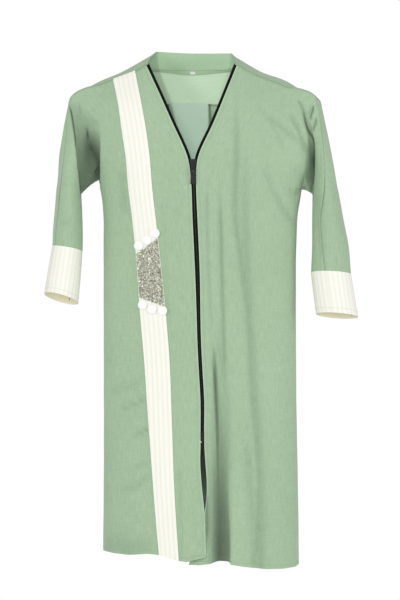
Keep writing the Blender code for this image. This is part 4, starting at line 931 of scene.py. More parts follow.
def seamPlaces(half):
    # the side seam, the sleeve's inside, the underarm, and the over-arm seam in its two stretches
    down, underarm = slice(None), slice(half.bodyCount, half.sleeveStart + 1)
    return (("body", (down, half.bodyCount)), ("sleeve", (down, 0)), ("upper", (-1, underarm)),
            ("upper", (down, -1)), ("sleeve", (down, -1)))


def joinHalves(front, back):
    for frontPlace, backPlace in zip(seamPlaces(front), seamPlaces(back)):
        shareSeam(*front.edge(*frontPlace), *back.edge(*backPlace))
    for half in (front, back):
        last, start = half.bodyCount, half.sleeveStart
        half.bodyNormals[0, last] = half.upperNormals[-1, last]
        half.sleeveNormals[0, 0] = half.upperNormals[-1, start]
        half.sleeveNormals[0, -1] = half.upperNormals[-1, -1]
        under = slice(last, start + 1)
        drawBack(half.upper[-1, under], half.upper[-2, under], clothFacts["seam"] * 0.6)
        drawBack(half.body[1:, last], half.body[1:, last - 1])
        drawBack(half.sleeve[1:, 0], half.sleeve[1:, 1])
        drawBack(half.upper[:, -1], half.upper[:, -2])
        drawBack(half.sleeve[1:, -1], half.sleeve[1:, -2])
        half.body[0, last] = half.upper[-1, last]
        half.sleeve[0, 0] = half.upper[-1, start]
        half.sleeve[0, -1] = half.upper[-1, -1]


def facingOut(directions):
    # behind the neck, out is backwards
    normals = unit(directions)
    return -normals if normals[0, normals.shape[1] // 2][1] < 0 else normals


def yokeSheet(halves):
    # rows run out from the neck; columns run from the right shoulder seam round the back to the left
    rightFront, leftFront, rightBack, leftBack = halves
    rightSeam = rightFront.upper[0, ::2]
    leftSeam = leftFront.upper[0, ::2]
    seamRow = np.concatenate([rightBack.upper[0][::-1], leftBack.upper[0][1:]])
    cage = np.array([line[2:] for line in yokeShape["lines"]], dtype=float).swapaxes(0, 1)
    seamKeys = chordShares(seamRow)
    lineKeys = np.array([line[1] for line in yokeShape["lines"]])
    outerRow = readRow(lineKeys, seamKeys, seamRow)
    cage = np.concatenate([cage, outerRow[None]])
    shares = (chordShares(rightSeam) + chordShares(leftSeam)) / 2
    levels = curveThrough(yokeShape["levels"], cage, shares)
    sheet = np.swapaxes(curveThrough(lineKeys, np.swapaxes(levels, 0, 1), seamKeys), 0, 1)
    sheet += (shares**3)[:, None, None] * (seamRow - sheet[-1])
    fromRight = np.clip(1.0 - seamKeys / yokeShape["endBlend"], 0.0, 1.0)
    fromLeft = np.clip(1.0 - (1.0 - seamKeys) / yokeShape["endBlend"], 0.0, 1.0)
    sheet += (fromRight**2)[None, :, None] * (rightSeam - sheet[:, 0])[:, None, :]
    sheet += (fromLeft**2)[None, :, None] * (leftSeam - sheet[:, -1])[:, None, :]
    sheet[-1] = seamRow
    down = np.gradient(sheet, axis=0)
    along = np.gradient(sheet, axis=1)
    return sheet, facingOut(np.cross(along, down))


def collarSheet(neck):
    # from the neck edge up to the collar's top edge
    table = np.array(collarShape["top"], dtype=float)
    top = curveThrough(table[:, 0], table[:, 1:], chordShares(neck))
    shares = np.linspace(0.0, 1.0, collarShape["rows"] + 1)[:, None, None]
    sheet = neck[None] + (top - neck)[None] * shares
    return sheet, facingOut(np.cross(np.gradient(sheet, axis=1), np.gradient(sheet, axis=0)))


def snapToChords(row):
    # every second point of a finer edge is laid on the straight between its neighbours
    row[1:-1:2] = (row[0:-2:2] + row[2::2]) / 2


def joinYoke(yoke, yokeNormals, halves):
    # shoulder seams and yoke seam
    rightFront, leftFront, rightBack, leftBack = halves
    middle = rightBack.count
    shareSeam(yoke[:, 0], yokeNormals[:, 0], rightFront.upper[0], rightFront.upperNormals[0])
    shareSeam(yoke[:, -1], yokeNormals[:, -1], leftFront.upper[0], leftFront.upperNormals[0])
    shareSeam(yoke[-1, middle::-1], yokeNormals[-1, middle::-1], rightBack.upper[0],
              rightBack.upperNormals[0])
    shareSeam(yoke[-1, middle:], yokeNormals[-1, middle:], leftBack.upper[0], leftBack.upperNormals[0])
    for half in halves:
        drawBack(half.upper[0], half.upper[1])
    drawBack(yoke[:, 0], yoke[:, 1])
    drawBack(yoke[:, -1], yoke[:, -2])
    drawBack(yoke[-1], yoke[-2])


def bodyAndUpper(half):
    # points and normals of a half from the shoulder to the hem, without its sleeve
    last = half.bodyCount + 1
    return (np.concatenate([half.upper[:-1, :last], half.body]),
            np.concatenate([half.upperNormals[:-1, :last], half.bodyNormals]))


def wholeColumn(half, column):
    # points and normals down a front at a column that may lie between two
    first = int(min(math.floor(column), half.bodyCount - 1))
    part = column - first
    points, normals = bodyAndUpper(half)
    return (points[:, first] * (1 - part) + points[:, first + 1] * part,
            unit(normals[:, first] * (1 - part) + normals[:, first + 1] * part))


def onFront(half, column, height):
    points, normals = wholeColumn(half, column)
    rising = points[::-1, 2]
    return readRow(height, rising, points[::-1]), unit(readRow(height, rising, normals[::-1]))


def bandColumn(half, x, height):
    inner = onFront(half, bandShape["first"], height)[0][0]
    outer = onFront(half, bandShape["last"], height)[0][0]
    return bandShape["first"] + (bandShape["last"] - bandShape["first"]) * (inner - x) / (inner - outer)


def zipFrames(half, heights):
    # places down a front's edge, with the directions across to the opening and out of the cloth
    edge, normals = wholeColumn(half, 0)
    inside, _ = wholeColumn(half, 1)
    rising = edge[::-1, 2]

    def read(points, height):
        return readRow(height, rising, points[::-1])

    frames = []
    for height in heights:
        point, behind, normal = read(edge, height), read(inside, height), unit(read(normals, height))
        tangent = unit(read(edge, height - 5) - read(edge, height + 5))
        across = point - behind
        across = unit(across - tangent * np.dot(across, tangent))
        outward = unit(normal - tangent * np.dot(normal, tangent) - across * np.dot(normal, across))
        frames.append((height, point, across, outward))
    return frames


def zipReveal(height):
    # how much tape shows between the front's edge and the coil
    if height > zipShape["openAbove"]:
        return zipShape["revealInV"]
    right, left = (fromTable(bodyShape["frontEdges"], column, height)[0] for column in (1, 2))
    return float(np.clip((left - right) / 2 - zipShape["coilWidth"] - clothFacts["seam"] / 2, 0.3, 2.4))


def downYoke(yoke, yokeNormals, column, drop):
    # a place a given way down from the neck edge, and the outward normal there
    points = yoke[:, column]
    along = chordShares(points) * np.linalg.norm(np.diff(points, axis=0), axis=1).sum()
    return readRow(drop, along, points), unit(readRow(drop, along, yokeNormals[:, column]))


def rowLengths(points):
    steps = np.linalg.norm(np.diff(points, axis=1), axis=2)
    return np.concatenate([np.zeros((len(points), 1)), np.cumsum(steps, axis=1)], axis=1)


def columnLengths(points):
    steps = np.linalg.norm(np.diff(points, axis=0), axis=2)
    return np.concatenate([np.zeros((1, points.shape[1])), np.cumsum(steps, axis=0)], axis=0)


class ClothWall:
    # a closed wall of cloth made from grids of points with their outward normals

    def __init__(self, thickness):
        self.thickness = thickness
        self.innerShade = None
        self.places = {}
        self.points, self.normals, self.maps, self.shades = [], [], [], []
        self.faces = []

    def vertex(self, point, normal, place, shade):
        key = tuple(np.round(point, 3))
        if key not in self.places:
            self.places[key] = len(self.points)
            self.points.append(point)
            self.normals.append(normal)
            self.maps.append(place)
            self.shades.append(shade)
        return self.places[key]

    def sheet(self, points, normals, mapping=None, shade=None):
        rows, columns = points.shape[:2]
        if mapping is None:
            mapping = np.stack([rowLengths(points), -columnLengths(points)], axis=2)
        shade = np.zeros((rows, columns)) if shade is None else shade
        index = [[self.vertex(points[r, c], normals[r, c], mapping[r, c], shade[r, c])
                  for c in range(columns)] for r in range(rows)]
        middle = (rows // 2, columns // 3)
        nextRow, nextColumn = min(middle[0] + 1, rows - 1), min(middle[1] + 1, columns - 1)
        facing = np.cross(points[nextRow, middle[1]] - points[nextRow - 1, middle[1]],
                          points[middle[0], nextColumn] - points[middle[0], nextColumn - 1])
        forward = np.dot(facing, normals[middle]) > 0
        for r in range(rows - 1):
            for c in range(columns - 1):
                face = (index[r][c], index[r + 1][c], index[r + 1][c + 1], index[r][c + 1])
                if len(set(face)) == 4:
                    self.faces.append(face if forward else face[::-1])

    def build(self, name, materials):
        # outer faces, then the inner ones turned round, then the rim along every open edge
        points, normals = np.array(self.points), np.array(self.normals)
        count = len(points)
        outer = np.array(self.faces)
        starts = outer.ravel()
        ends = np.roll(outer, -1, axis=1).ravel()
        forward = starts.astype(np.int64) * count + ends
        backward = ends.astype(np.int64) * count + starts
        open_ = ~np.isin(forward, backward)
        rim = np.stack([ends[open_], starts[open_], starts[open_] + count, ends[open_] + count], axis=1)
        faces = np.concatenate([outer, outer[:, ::-1] + count, rim])
        mesh = bpy.data.meshes.new(name)
        mesh.from_pydata(np.concatenate([points, points - normals * self.thickness]) * mm, [], faces.tolist())
        for material in materials:
            mesh.materials.append(material)
        layer = mesh.uv_layers.new(name="clothMap")
        maps = np.tile(np.array(self.maps) * mm, (2, 1))
        layer.data.foreach_set("uv", maps[faces.ravel()].ravel())
        # painted shade per point: the outer face takes the sheets' shade, the inner face the wall's
        # innerShade
        shadow = mesh.attributes.new("paintedShade", "FLOAT", "POINT")
        inner = np.zeros(count) if self.innerShade is None else self.innerShade(points[:, 0], points[:, 2])
        shadow.data.foreach_set("value", np.concatenate([self.shades, inner]).astype(np.float32))
        slots = np.zeros(len(faces), dtype=np.int32)
        slots[len(outer):2 * len(outer)] = len(materials) - 1
        mesh.polygons.foreach_set("material_index", slots)
        mesh.polygons.foreach_set("use_smooth", np.ones(len(faces), dtype=bool))
        mesh.set_sharp_from_angle(angle=math.radians(50))
        mesh.validate()
        print(name, "area", round(sum(face.area for face in mesh.polygons) / 2, 4), "faces", len(faces))
        return newObject(name, mesh)


def wearPiece(thing, slot, *nodes):
    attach(thing, garment)
    if nodes:
        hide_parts(*nodes)
    return thing


def clothPiece(name, thickness, sheets, materials, slot, innerShade=None):
    # a closed wall from sheets of points and normals, in place of the solid of the same name
    wall = ClothWall(thickness)
    wall.innerShade = innerShade
    for sheet in sheets:
        wall.sheet(*sheet)
    return wearPiece(wall.build(name + "_cloth", materials), slot, name)


# creases listed one by one: each follows a path, steep on one side and easy on the other

frontCreases = (
    # name, reach to the left and right, depth, ridge beside it, painted shade, path of (x, height)
    ("left hem trough", 4.6, 3.6, 5, 0.8, 0.6,
     ((31.4, -457.3), (34.9, -503.2), (38.2, -567.8), (40.8, -635.8), (41.6, -686.8), (43.4, -746.3),
      (45.9, -805.8))),
    ("left edge streak", 4.5, 3.2, 1.8, 0.5, 0.1,
     ((22.1, -168.3), (22.1, -295.8), (25.5, -380.8), (30.6, -474.3))),
    ("left inner streak", 5, 3.5, 2.6, 0.8, 0.2,
     ((42.5, -180.2), (45.9, -295.8), (48.4, -397.8), (51, -491.3), (51, -584.8))),
    ("left middle streak", 6.5, 6.5, 2.8, 0.7, 0.21,
     ((68.5, 2), (71.4, -66.3), (71.4, -159.8), (69.7, -253.3), (79.9, -329.8), (91.8, -423.3),
      (98.6, -550.8), (108.8, -661.3), (108.8, -771.8), (102, -843.2))),
    ("left long shade", 9, 10, 0.5, 0, 0.16,
     ((86, -110), (86, -250), (92, -398), (103, -551), (110, -653), (114, -772), (112, -850))),
    ("left inner shade", 8, 8, 0.5, 0, 0.14,
     ((39, -400), (44, -480), (54, -568), (58, -680), (55, -772), (55, -850))),
    ("slit edge shadow", 2.4, 3.4, 0.3, 0, 0.42, ((20.5, -705), (21.5, -740), (22.5, -775), (23, -815))),
    ("left side line", 3, 3, 1, 0.3, 0.03,
     ((166.6, -219.3), (170, -295.8), (170, -448.8), (171.7, -618.8), (173.4, -737.8), (171.7, -839.8))),
    ("left side shoulder", 4, 4, 1.8, 0.5, 0.07, ((122.4, -168.3), (141.1, -227.8), (158.1, -265.2))),
    ("right band shade", 3, 4, 1, 0, 0.04,
     ((-56.1, -210.8), (-51, -295.8), (-45.9, -397.8), (-39.1, -465.8))),
    ("right hem line", 4, 5, 1.8, 0.6, 0.05, ((-27.2, -661.3), (-23.8, -771.8), (-22.1, -839.8))),
    ("right shoulder nick", 2.2, 2.2, 2.4, 0.3, 0.85,
     ((-213.5, -60), (-208.5, -80), (-204.5, -102), (-200.7, -122), (-199, -150))),
    ("right hollow core", 2.4, 4.4, 2.5, 0, 0.86,
     ((-185, -90), (-183.4, -105), (-179, -122.4), (-174.4, -144.5), (-169.7, -163.2), (-164.5, -188))),
    ("right hollow streak one", 2.4, 3, 1.8, 0.8, 0.3, ((-197, -60), (-194, -76), (-189, -95), (-183, -112))),
    ("right hollow streak two", 2, 2.2, 1.6, 0.8, 0.2, ((-208, -62), (-202, -84), (-195, -112))),
    ("right hollow streak three", 4, 4, 1.6, 0.6, 0.14, ((-182, -76), (-174, -96), (-166, -120))),
    ("right shoulder fan", 4, 5, 2.4, 0.6, 0.12,
     ((-204, -71.4), (-192.1, -91.8), (-176.8, -113.9), (-164.9, -136))),
    ("right drag one", 7, 5, 1.6, 0.5, 0.09, ((-149.6, -554.2), (-117.3, -549.1), (-85, -535.5))),
    ("right drag two", 4, 5, 1.8, 0.6, 0.15, ((-127.5, -583.1), (-103.7, -576.3), (-79.9, -559.3))),
    ("right drag three", 4, 4, 1.8, 0.6, 0.17, ((-105.4, -630.7), (-90.1, -623.9), (-76.5, -613.7))),
    ("right soft shade", 9.9, 9.9, 2.4, 0, 0.09, ((-122, -175), (-120, -215), (-117, -262))),
    ("left hem streak", 9, 7.2, 3.3, 0.8, 0.12, ((88.4, -625), (97, -730), (108.8, -850))),
    ("left chest diagonal one", 4, 3.4, 1.8, 0.5, 0.05,
     ((103.7, -59.5), (130.2, -94.5), (144.5, -122.4), (153, -150))),
    ("left chest diagonal two", 4.5, 6.3, 3, 0.9, 0.11, ((115.6, -79.9), (150, -106), (183.6, -134.3))),
    ("left chest diagonal three", 5.4, 3.6, 3.6, 1, 0.13,
     ((163.2, -76.5), (183.6, -120.7), (193.8, -154.7))),
    ("left pull one", 5, 6, 2.2, 0.6, 0.06, ((119, -181.9), (143, -224), (164.9, -263.5))),
    ("left pull two", 4.5, 4.5, 3, 0.9, 0.11, ((127.5, -198.9), (152, -240), (176.8, -277.1))),
    ("left pull three", 3.6, 4.5, 1.8, 0.5, 0.07, ((113.9, -172.7), (137.2, -215.9))),
    ("left pull four", 3.15, 3.15, 2.7, 0.7, 0.1, ((161.5, -204), (175.1, -232.9))),
    ("left underarm pinch", 3.6, 3.6, 3.6, 0.8, 0.1,
     ((160, -219), (170, -214), (183.6, -209.1), (193.8, -210.3))),
    ("left sleeve nick one", 1.9, 1.9, 2.2, 0.5, 0.72,
     ((203.5, -66), (201.5, -76), (198.5, -86), (197.6, -94))),
    ("left sleeve nick two", 2.2, 2.2, 2, 0.5, 0.48, ((208, -86), (206, -98), (202.5, -106), (200, -114))),
    ("left hollow core", 2.8, 2.2, 3, 0, 0.86,
     ((184, -58), (185.1, -71), (188.4, -90), (193.6, -109), (199.9, -124), (202.1, -141), (203, -162),
      (202.1, -186), (200.5, -206), (199.5, -222))),
    ("left underarm nick", 1.7, 1.7, 1.2, 0.3, 0.5, ((169, -218), (177, -214.5), (184, -210), (192, -203))),
    ("left sleeve inner roll", 5.4, 8.1, 2.1, 0.5, 0.08,
     ((209, -200), (208, -245), (213, -300), (216, -340))),
    ("right sleeve low pinch", 3.6, 4.5, 1.8, 0.5, 0.07, ((-231, -262), (-216, -268), (-203, -262))),
    ("left cuff pinch one", 2.7, 2.7, 1.7, 0.4, 0.07, ((222, -346), (221, -330), (224, -312))),
    ("left cuff pinch two", 2.7, 3.15, 1.5, 0.4, 0.07, ((241, -348), (242, -334), (239, -318))),
    ("right drag four", 7, 6, 1.8, 0.6, 0.11, ((-130.9, -722.5), (-103.7, -714), (-73.1, -691.9))),
    ("right drag five", 4, 5, 1.4, 0.4, 0.08, ((-119, -688.5), (-95.2, -680), (-74.8, -664.7))),
    ("right hem shade", 16, 22, 0.6, 0, 0.12, ((-190, -800), (-150, -812), (-115, -815), (-60, -806))),
    ("left low shade", 8, 8, 1.4, 0.2, 0.1,
     ((20.4, -601.8), (22.1, -686.8), (23.8, -788.8), (22.1, -873.8))),
    ("left shoulder nick", 3, 2, 1.6, 0.4, 0.3, ((175.1, -54.4), (183.6, -71.4), (190.4, -98.6))),
    ("left shoulder nick two", 2, 2, 1.2, 0.3, 0.25, ((198.9, -64.6), (195.5, -81.6), (192.1, -102))),
)

backCreases = (
    # the same columns as the front's, with the same painted shade
    ("back right pull one", 4.5, 5.4, 2.8, 0.8, 0.11, ((-128, -214), (-142, -240), (-149, -272))),
    ("back right pull two", 5.4, 4.5, 2.7, 0.8, 0.1, ((-104, -150), (-128, -172), (-153, -188))),
    ("back right long fold", 12.6, 6.3, 3.9, 1, 0.14, ((-70, -300), (-79, -450), (-76, -610), (-88, -826))),
    ("back right low drag", 6.3, 8.1, 2.2, 0.7, 0.09, ((-134, -598), (-110, -584), (-88, -562))),
    ("back left pull one", 4.95, 4.95, 3, 0.9, 0.11, ((124, -186), (146, -224), (168, -258))),
    ("back left pull two", 5.4, 4.5, 2.8, 0.8, 0.11, ((96, -120), (124, -146), (160, -166))),
    ("back left pull three", 3.6, 4.5, 2, 0.5, 0.08, ((142, -214), (158, -246), (166, -285))),
    ("back left long fold", 7.2, 13.5, 4.2, 1.2, 0.15, ((70, -330), (80, -470), (77, -640), (88, -836))),
    ("back left hem fold", 8.1, 8.1, 2.7, 0.7, 0.1, ((128, -610), (126, -720), (134, -842))),
    ("back middle slack", 9, 7.2, 1.7, 0.4, 0.07, ((-34, -210), (-38, -330), (-30, -420))),
    ("back middle slack two", 8.1, 9, 1.8, 0.4, 0.07, ((22, -480), (27, -590), (24, -690))),
)

# deep hollows, darkened with painted shade: between the body and each sleeve, front and back, and at the left
# front's hem

hollows = (
    # facing, depth, how steep its left side is, then rows of: height, left edge, deepest, right edge,
    # softness of both edges, three painted shades
    (-1, 9, 4, (
        (-56, -213, -199, -190, 1.5, 8, 0, 0, 0),
        (-74, -210.8, -194.7, -184, 1.2, 8, 0.16, 0.1, 0.02),
        (-92, -208, -176, -160, 1.2, 8, 0.26, 0.18, 0.03),
        (-109, -205, -183, -160, 1.2, 6, 0.36, 0.32, 0.1),
        (-126, -201.6, -178.5, -160, 1.2, 4, 0.43, 0.66, 0.26),
        (-143, -199.4, -174.2, -160, 1.2, 2, 0.47, 0.82, 0.46),
        (-160, -198, -169.6, -160, 1.2, 1.2, 0.48, 0.87, 0.7),
        (-177, -196.5, -166, -160.5, 1.2, 1.2, 0.5, 0.88, 0.86),
        (-194, -194.7, -164, -160.5, 1.2, 1.2, 0.52, 0.8, 0.8),
        (-211, -193.2, -168, -162, 1.2, 1.2, 0.6, 0.7, 0.7),
        (-229, -192, -168, -162, 1.2, 1.2, 0, 0, 0))),
    (-1, 9, 3, (
        (-58, 179, 181, 186, 1.5, 2, 0, 0, 0),
        (-73, 183, 186, 190, 1.5, 2, 0.08, 0.15, 0.04),
        (-100, 188.6, 190.4, 198, 1.5, 2, 0.16, 0.3, 0.14),
        (-126, 193, 199, 203.2, 3, 1, 0.12, 0.34, 0.5),
        (-151, 190, 202.4, 204.2, 4, 1, 0.14, 0.52, 0.74),
        (-177, 190, 202, 204.2, 4, 1, 0.18, 0.58, 0.76),
        (-194, 191, 199, 203, 3, 1, 0.26, 0.66, 0.72),
        (-211, 196, 199, 201.5, 2, 1, 0.45, 0.7, 0.55),
        (-229, 197, 199, 201, 2, 1, 0, 0, 0))),
    (1, 7, 2, (
        (-74, -207, -190, -182, 1.5, 8, 0, 0, 0),
        (-104, -202, -182, -166, 1.5, 6, 0.22, 0.34, 0.06),
        (-138, -198.5, -175, -161, 1.5, 4, 0.38, 0.6, 0.28),
        (-172, -197, -170, -160.5, 1.2, 1.8, 0.44, 0.68, 0.5),
        (-208, -194.5, -168, -161.5, 1.2, 1.5, 0.44, 0.62, 0.58),
        (-230, -193, -168, -162, 1.2, 1.5, 0, 0, 0))),
    (1, 7, 2, (
        (-76, 180, 184, 190, 2, 2, 0, 0, 0),
        (-106, 186, 191, 204, 2, 1.5, 0.3, 0.52, 0.2),
        (-142, 191, 199, 206, 3, 1.2, 0.3, 0.66, 0.52),
        (-176, 191, 200, 206.5, 3, 1.2, 0.3, 0.68, 0.6),
        (-210, 195, 200, 204, 2, 1.2, 0.4, 0.56, 0.46),
        (-230, 197, 200, 203, 2, 1.2, 0, 0, 0))),
    (-1, 11, 1.5, (
        (-490, 30, 39, 58, 9, 7, 0, 0, 0),
        (-568, 27, 41, 61, 9, 8, 0.05, 0.14, 0.12),
        (-636, 25, 42, 61, 9, 12, 0.1, 0.32, 0.2),
        (-720, 23, 43, 61, 8, 13, 0.14, 0.6, 0.24),
        (-760, 22, 44.5, 61.5, 7, 11, 0.18, 0.7, 0.3),
        (-800, 22, 45, 61.5, 7, 6, 0.22, 0.72, 0.42),
        (-845, 22, 46, 60.5, 6, 1.4, 0.18, 0.71, 0.42),
        (-870, 22, 46, 60.5, 6, 1.4, 0.18, 0.71, 0.42))),
)


def hollowAt(rows, steepness, x, z):
    # how far into a hollow each place lies, from none to all of its depth
    rows = np.array(rows, dtype=float)[::-1]
    left, deep, right, softLeft, softRight, atLeft, atDeep, atRight = (
        np.interp(z, rows[:, 0], column) for column in rows[:, 1:].T)
    fromLeft = np.clip((x - left) / (deep - left), 0.0, 1.0) ** steepness
    toRight = np.clip((x - deep) / (right - deep), 0.0, 1.0)
    inner = np.where(x < deep, atLeft + (atDeep - atLeft) * fromLeft, atDeep + (atRight - atDeep) * toRight)
    return inner * smoothStep((x - left) / softLeft + 0.5) * smoothStep((right - x) / softRight + 0.5)


creaseShape = {
    "pointsEach": 8,               # how much finer the path is than its table
    "hemLevel": -815,              # a path that ends lower runs out at the hem, with no fade
    "fade": 0.22,                  # share of the path over which it comes and goes
    "ridgeOut": 1.9,               # widths from the valley to the ridge beside it
    "ridgeWidth": 0.8,
    "shadeWidth": 0.8,
}


def creaseAt(crease, x, z):
    # how far a crease moves the cloth out, and how dark its painted shade is, at places given by x and height
    left, right, depth, ridgeHeight, shade, path = crease[1:]
    path = np.array(path, dtype=float)
    atHem = path[-1][1] < creaseShape["hemLevel"]
    if len(path) > 2:
        finer = np.linspace(0.0, 1.0, creaseShape["pointsEach"] * len(path))
        path = curveThrough(chordShares(path), path, finer)
    shares = chordShares(path)
    nearest = np.full(x.shape, 1e9)
    signed = np.zeros(x.shape)
    run = np.zeros(x.shape)
    for i in range(len(path) - 1):
        start, step = path[i], path[i + 1] - path[i]
        t = np.clip(((x - start[0]) * step[0] + (z - start[1]) * step[1]) / np.dot(step, step), 0.0, 1.0)
        offX, offZ = x - start[0] - t * step[0], z - start[1] - t * step[1]
        distance = np.hypot(offX, offZ)
        closer = distance < nearest
        nearest = np.where(closer, distance, nearest)
        side = np.sign(offX * abs(step[1]) + offZ * step[0] * np.sign(-step[1] or 1.0))
        signed = np.where(closer, distance * side, signed)
        run = np.where(closer, shares[i] + (shares[i + 1] - shares[i]) * t, run)
    width = np.where(signed < 0, left, right)
    valley = np.exp(-(signed / width) ** 2)
    beyond = np.abs(signed) - creaseShape["ridgeOut"] * width
    ridge = np.exp(-(beyond / (creaseShape["ridgeWidth"] * width)) ** 2)
    fade = smoothStep(run / creaseShape["fade"])
    if not atHem:
        fade = fade * smoothStep((1.0 - run) / creaseShape["fade"])
    dark = np.exp(-(signed / (creaseShape["shadeWidth"] * width)) ** 2)
    return fade * (ridgeHeight * ridge - depth * valley), fade * shade * dark


waveShape = {
    # three layers: height, length across, length down, how far it wanders aside, over what length
    "broad": (0.55, 21.0, 97.0, 1.3, 133.0),
    "middle": (0.32, 11.5, 61.0, 1.0, 260.0),
    "narrow": (0.2, 6.5, 29.0, 2.1, 45.0),
    "broadLean": 60.0,
    "narrowLean": 31.0,
    "shifts": (0.4, 2.0, 1.1),
    "start": (40.0, 80.0),        # depth below the shoulder where they begin, and their run
}


def softWaves(x, z):
    # slow unevenness of cloth that hangs free, calmer at the shoulders
    broadShift, middleShift, middleStart = waveShape["shifts"]
    high, across, down, aside, bend = waveShape["broad"]
    wave = high * np.sin(x / across + aside * np.sin(z / bend) + broadShift)
    wave = wave * np.sin(z / down + x / waveShape["broadLean"])
    high, across, down, aside, bend = waveShape["middle"]
    wave = wave + high * np.sin(x / across + aside * z / bend + middleShift) * np.sin(z / down + middleStart)
    high, across, down, aside, bend = waveShape["narrow"]
    wander = aside * np.sin(z / bend)
    wave = wave + high * np.sin(x / across + wander) * np.sin(z / down + x / waveShape["narrowLean"])
    return wave * rise(-z, *waveShape["start"])


def seamGaps(half, name):
    # how far each place lies from the nearest seam, and from the nearest one with the other side of the coat
    sheet = getattr(half, name)
    across, down = rowLengths(sheet), columnLengths(sheet)
    gap = across[:, -1:] - across
    if name == "sleeve":
        return gap, np.minimum(gap, across)
    if name == "body":
        return gap, gap
    low = down[-1:] - down
    low[:, :half.bodyCount] = 1000.0
    low[:, half.sleeveStart + 1:] = 1000.0
    return np.minimum(gap, down), np.minimum(np.minimum(gap, down), low)


seamLook = {
    # painted shade: the seam's shade numbers darken the cloth's colour along the groove
    "sink": (0.8, 1.5),            # depth and width of the groove at a seam
    "roll": (0.3, 4.5, 2.0),       # height, distance and width of the soft roll beside it
    "shade": (0.2, 1.1),           # darkness and width of the groove's shadow
    "armShade": (0.24, -222.0, 38.0),      # more of it near the underarms: darkness, height, reach
    "calm": 8.0,                   # creases fade out this near to the other side's cloth
    "hollow": (3.5, 7.0),          # least depth kept between front and back, and where it starts
}


def bump(distance, width):
    return np.exp(-(distance / width) ** 2)


def creaseSheet(points, normals, side, gap, sideGap):
    # moves the cloth for creases, hollows and seams, and gives each place its painted shade from all of them
    x, z = points[..., 0], points[..., 2]
    low, high, shade = np.zeros(x.shape), np.zeros(x.shape), np.zeros(x.shape)
    for creases, face in ((frontCreases, -1), (backCreases, 1)):
        weight = smoothStep(normals[..., 1] * face * 1.6)
        for crease in creases:
            height, dark = creaseAt(crease, x, z)
            low = np.minimum(low, weight * height)
            high = np.maximum(high, weight * height)
            shade = np.maximum(shade, weight * dark)
    for face, depth, steepness, rows in hollows:
        hollow = smoothStep(normals[..., 1] * face * 2.2 + 0.7) * hollowAt(rows, steepness, x, z)
        low = np.minimum(low, -depth * hollow)
        shade = np.maximum(shade, hollow)
    sink, sinkWidth = seamLook["sink"]
    roll, rollAt, rollWidth = seamLook["roll"]
    dark, darkWidth = seamLook["shade"]
    armDark, armLevel, armReach = seamLook["armShade"]
    least, leastFrom = seamLook["hollow"]
    move = softWaves(x, z) + (low + high) * smoothStep(sideGap / seamLook["calm"])
    move = move - sink * bump(gap, sinkWidth) + roll * bump(gap - rollAt, rollWidth)
    # painted shadow along each seam's groove, stronger near the underarms
    seam = (dark + armDark * bump(z - armLevel, armReach)) * bump(gap, darkWidth)
    moved = points + normals * move[..., None]
    # however deep a hollow is, the front never meets the back
    least = np.minimum(side * points[..., 1], least * smoothStep(sideGap / leastFrom))
    moved[..., 1] = side * np.maximum(side * moved[..., 1], least)
    return moved, np.maximum(shade, seam)


def leanNormals(points, normals):
    # normals of the creased cloth, kept as they were where the grid is too tight to tell
    facing = np.cross(np.gradient(points, axis=0), np.gradient(points, axis=1))
    length = np.linalg.norm(facing, axis=2, keepdims=True)
    facing = facing / np.maximum(length, 1e-6)
    along = np.sum(facing * normals, axis=2, keepdims=True)
    facing = facing * np.sign(along)
    return np.where((length > 0.05) & (np.abs(along) > 0.25), facing, normals)


def layCloth():
    rightFront, leftFront = (
        Half(upperLines[side + "Front"], columns, -1, mainFolds[side + "Front"], bodyShape[side + "Hem"],
             sleeveRings[side])
        for side, columns in (("right", rightFrontColumns), ("left", leftFrontColumns)))
    rightBack, leftBack = (
        Half(upperLines[side + "Back"], backColumns(bodyShape[side + "Blade"], out), 1, mainFolds["back"],
             bodyShape["backHem"], sleeveRings[side], front.upper[:, -1])
        for side, out, front in (("right", -1, rightFront), ("left", 1, leftFront)))
    halves = (rightFront, leftFront, rightBack, leftBack)
    slitOverlap(leftFront.body, 2)
    snapToChords(rightFront.upper[0])
    snapToChords(leftFront.upper[0])
    for sheet in ("upperNormals", "bodyNormals"):
        right, left = getattr(rightBack, sheet), getattr(leftBack, sheet)
        middle = unit(right[:, 0] + left[:, 0])
        right[:, 0] = middle
        left[:, 0] = middle
    yoke, yokeNormals = yokeSheet(halves)
    joinHalves(rightFront, rightBack)
    joinHalves(leftFront, leftBack)
    joinYoke(yoke, yokeNormals, halves)
    for half in halves:
        for name in ("upper", "body", "sleeve"):
            sheet = getattr(half, name)
            normals = getattr(half, name + "Normals")
            moved, shade = creaseSheet(sheet, normals, half.face, *seamGaps(half, name))
            setattr(half, name, moved)
            setattr(half, name + "Normals", leanNormals(moved, normals))
            setattr(half, name + "Shade", shade)
    for name in ("upper", "upperNormals", "body", "bodyNormals"):
        getattr(leftBack, name)[:, 0] = getattr(rightBack, name)[:, 0]
    return rightFront, leftFront, rightBack, leftBack, yoke, yokeNormals


rightFront, leftFront, rightBack, leftBack, yoke, yokeNormals = layCloth()
print("cloth laid")


def halfSheets(half, mirrored=False):
    across = rowLengths(half.upper)
    down = columnLengths(half.upper)
    last, start = half.bodyCount, half.sleeveStart
    flip = -1.0 if mirrored else 1.0
    upperMap = np.stack([across * flip, -down], axis=2)
    bodyMap = np.stack([rowLengths(half.body) * flip,
                        -down[-1, :last + 1] - columnLengths(half.body)], axis=2)
    sleeveMap = np.stack([(across[-1, start] + rowLengths(half.sleeve)) * flip,
                          -down[-1, start:] - columnLengths(half.sleeve)], axis=2)
    return ((half.upper, half.upperNormals, upperMap, half.upperShade),
            (half.body, half.bodyNormals, bodyMap, half.bodyShade),
            (half.sleeve, half.sleeveNormals, sleeveMap, half.sleeveShade))


sage = (looks["sageCrepe"], looks["sageInsideLit"])


